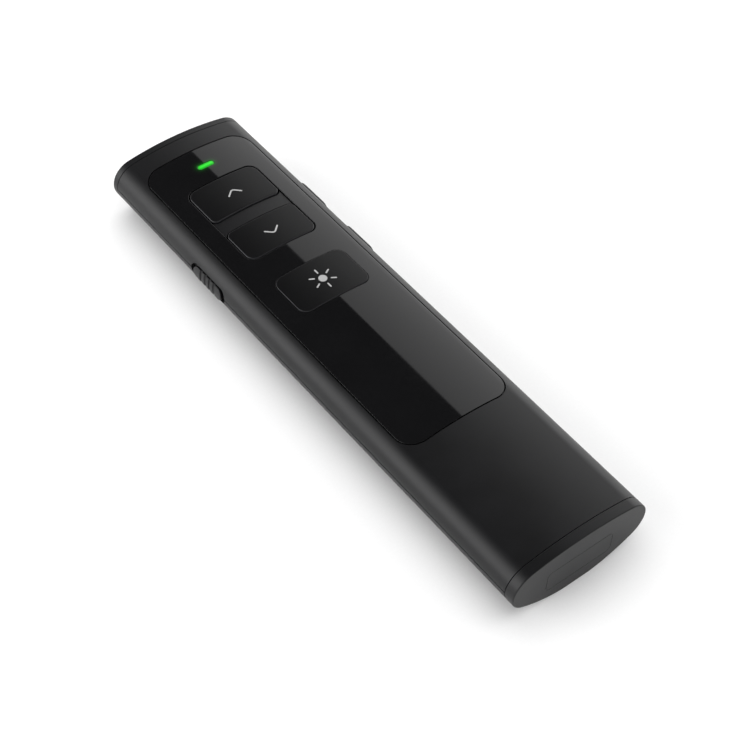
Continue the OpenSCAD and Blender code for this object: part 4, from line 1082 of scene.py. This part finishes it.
# What a node has inside an oval at some inset: ribs, bosses, shelves, posts and tabs, cut from a merged
# copy of its solid. The cut runs in millimetres
def addInside(name, node, inset):
    loop = ovalLoop(inset) / mm
    i = np.arange(len(loop))
    ends = shellStart / mm - pastEnds, shellEnd / mm + pastEnds
    points = [(x, y, z) for y in ends for x, z in loop]
    region = bpy.data.meshes.new("region")
    region.from_pydata(points, [], ringFaces([i, len(loop) + i]) + [i[::-1].tolist(),
                                                                    (len(loop) + i).tolist()])
    shape = mergedCopy(node)
    shape.transform(Matrix.Scale(1 / mm, 4))
    pair = []
    for mesh in (shape, region):
        work = bmesh.new()
        work.from_mesh(mesh)
        bmesh.ops.recalc_face_normals(work, faces=work.faces)
        work.to_mesh(mesh)
        work.free()
        pair.append(bpy.data.objects.new(name, mesh))
        bpy.context.scene.collection.objects.link(pair[-1])
    cut = pair[0].modifiers.new("cut", "BOOLEAN")
    cut.operation, cut.solver, cut.object = "INTERSECT", "EXACT", pair[1]
    found = pair[0].evaluated_get(bpy.context.evaluated_depsgraph_get())
    mesh = bpy.data.meshes.new_from_object(found)
    mesh.transform(Matrix.Scale(mm, 4))
    for obj in pair:
        bpy.data.objects.remove(obj)
    finishEdges(mesh)
    addPiece(name, mesh, node, replaces=False)


clear, pastEnds = 0.01 * mm, 5


# Past the wall, or past a face key's own flange
def makeInsides():
    inWall = wall + clear
    inKey = inWall + faceKeys["play"] + faceKeys["flange"]
    for name, node, inset in (
            ("upperShellBosses", "upper_shell", inWall), ("lowerShellShelves", "lower_shell", inWall),
            ("batteryDoorTabs", "battery_door", inWall), ("pageUpPost", "page_up_key", inKey),
            ("pageDownPost", "page_down_key", inKey), ("laserPost", "laser_key", inKey),
            ("volumeUpPost", "volume_up_key", inWall), ("volumeDownPost", "volume_down_key", inWall),
            ("powerSliderFork", "power_slider", inWall)):
        addInside(name, node, inset)


for make in (makeUpperShell, makeLowerShell, makeDoor, makePanel, makeFaceKeys, makeSideKeys,
             makeRearCap, makeFrontCap, makeReceiverCap, makeLight, makeSlider, makeMarks, makeBattery,
             makeSpring, makeInnerPieces, makeInsides):
    make()

# The camera's place and turn come from the photograph's perspective, solved on the body's outlines
cameraPlace = dict(lengths(x=-131.508, y=-159.615, z=236.564), azimuth=-40.422, elevation=49.24,
                   roll=3.393, lens=80.185, sensor=36.0)


# Axes of a camera at an azimuth and elevation: back points from the object to the camera, and right and
# up are turned about it by the roll
def addCamera(place):
    az, el, roll = (radians(place[k]) for k in ("azimuth", "elevation", "roll"))
    back = Vector((sin(az) * cos(el), -cos(az) * cos(el), sin(el)))
    level = Vector((cos(az), sin(az), 0))
    rise = back.cross(level)
    right = cos(roll) * level + sin(roll) * rise
    up = cos(roll) * rise - sin(roll) * level
    data = bpy.data.cameras.new("camera")
    data.lens, data.sensor_width, data.clip_start = place["lens"], place["sensor"], 0.01
    camera = bpy.data.objects.new("camera", data)
    turn = Matrix((right, up, back)).transposed().to_4x4()
    camera.matrix_world = Matrix.Translation((place["x"], place["y"], place["z"])) @ turn
    bpy.context.scene.collection.objects.link(camera)
    bpy.context.scene.camera = camera


# A white floor under a sky that is pale along the horizon and dark overhead, a long card to the right
# whose near edge the panel mirrors along its middle, a card low on each side that lights the shoulder
# and the keys' edges, and one wide lamp overhead that shiny surfaces don't mirror. In metres
studio = dict(horizon=1.05, zenith=0.04, skyLow=0.25, skyHigh=0.60, paper="#f4f4f4", paperGrain=0.02,
              floorReach=6, floorLift=0.02, cardHeight=0.45, cardNear=0.9, cardFar=1.75, cardSpan=0.55,
              cardStart=-0.6, cardEnd=1.6, sideStart=-0.1, sideEnd=1.3, lampX=0.8, lampY=0.3,
              lampHeight=1.5, lampSize=3.0, lampPower=48.0)
# A side card glows evenly up to the height low, and its glow falls to a tenth at high
sideCards = [dict(name="leftCard", x=-0.9, low=0.45, high=1.3, glow=4.1),
             dict(name="rightCard", x=0.9, low=0.30, high=0.6, glow=2.6)]


# A rectangle from corner to corner, flat on x and y, or standing where both corners have one x
def addPlane(name, low, high, material):
    (x0, y0, z0), (x1, y1, z1) = low, high
    corners = [(x0, y0, z0), (x1, y0, z0), (x1, y1, z1), (x0, y1, z1)]
    if x0 == x1:
        corners = [(x0, y0, z0), (x0, y1, z0), (x0, y1, z1), (x0, y0, z1)]
    mesh = bpy.data.meshes.new(name)
    mesh.from_pydata(corners, [], [(0, 1, 2, 3)])
    mesh.materials.append(material)
    obj = bpy.data.objects.new(name, mesh)
    bpy.context.scene.collection.objects.link(obj)
    return obj


# White paper that also shines a little to the camera and in mirrors, so it photographs as plain white
def addFloor():
    material, tree, coords = newMaterial("paperSweep")
    white, reach = linear(studio["paper"])[0], studio["floorReach"]
    grain = add(tree, "TexNoise", {"Vector": coords["Object"], "Scale": 1 / (0.5 * mm)})
    tone = add(tree, "MapRange", {"Value": grain, "To Min": white - studio["paperGrain"],
                                  "To Max": white + studio["paperGrain"]})
    path = add(tree, "LightPath").outputs
    mirrored = add(tree, "Math", {0: path["Is Glossy Ray"], 1: path["Is Transmission Ray"]},
                   operation="MAXIMUM")
    seen = add(tree, "Math", {0: path["Is Camera Ray"], 1: mirrored}, operation="MAXIMUM")
    lift = add(tree, "Math", {0: seen, 1: studio["floorLift"]}, operation="MULTIPLY")
    glow = add(tree, "Emission", {"Strength": lift})
    both = add(tree, "AddShader", {0: add(tree, "BsdfDiffuse", {"Color": tone}), 1: glow})
    add(tree, "OutputMaterial", {"Surface": both})
    addPlane("floor", (-reach, -reach, 0), (reach, reach, 0), material)


# A card that lights and is mirrored but isn't seen. Its glow runs along an axis from a place to another
def addGlowCard(name, low, high, axis, start, stop, startGlow, stopGlow):
    material, tree, coords = newMaterial(name + "Paper")
    split = add(tree, "SeparateXYZ", {"Vector": coords["Object"]})
    strength = add(tree, "MapRange", {"Value": split.outputs[axis], "From Min": start,
                                      "From Max": stop, "To Min": startGlow, "To Max": stopGlow})
    add(tree, "OutputMaterial", {"Surface": add(tree, "Emission", {"Strength": strength})})
    addPlane(name, low, high, material).visible_camera = False


# The long card's near edge lies in the plane through the mirrored camera and the panel's middle line, so
# the panel shows it along x = 0: x rises by camera x over camera height above the panel, per height
def addLongCard():
    near = studio["cardHeight"] * -cameraPlace["x"] / (cameraPlace["z"] - top)
    far, height = near + studio["cardSpan"], top + studio["cardHeight"]
    addGlowCard("card", (near, studio["cardStart"], height), (far, studio["cardEnd"], height), "X", near,
                far, studio["cardNear"], studio["cardFar"])


def addSideCard(name, x, low, high, glow):
    addGlowCard(name, (x, studio["sideStart"], 0), (x, studio["sideEnd"], high), "Z", low, high, glow,
                glow / 10)


def addLamp():
    data = bpy.data.lights.new("overheadLamp", "AREA")
    data.size, data.energy = studio["lampSize"], studio["lampPower"]
    lamp = bpy.data.objects.new("overheadLamp", data)
    lamp.location = (studio["lampX"], studio["lampY"], studio["lampHeight"])
    lamp.visible_glossy = False
    bpy.context.scene.collection.objects.link(lamp)


# Sky brightness by the sine of the elevation, from the horizon's to the zenith's
def addSky():
    world = bpy.data.worlds.new("studio")
    world.use_nodes = True
    tree = world.node_tree
    split = add(tree, "SeparateXYZ", {"Vector": add(tree, "TexCoord").outputs["Generated"]})
    strength = add(tree, "MapRange", {"Value": split.outputs["Z"], "From Min": studio["skyLow"],
                                      "From Max": studio["skyHigh"], "To Min": studio["horizon"],
                                      "To Max": studio["zenith"]}, interpolation_type="SMOOTHSTEP")
    plug(tree.nodes["Background"], {"Color": (1, 1, 1, 1), "Strength": strength})
    bpy.context.scene.world = world


bpy.context.scene.view_settings.view_transform = "Standard"
addCamera(cameraPlace)
addSky()
addFloor()
addLongCard()
for sideCard in sideCards:
    addSideCard(**sideCard)
addLamp()
print("studio made")
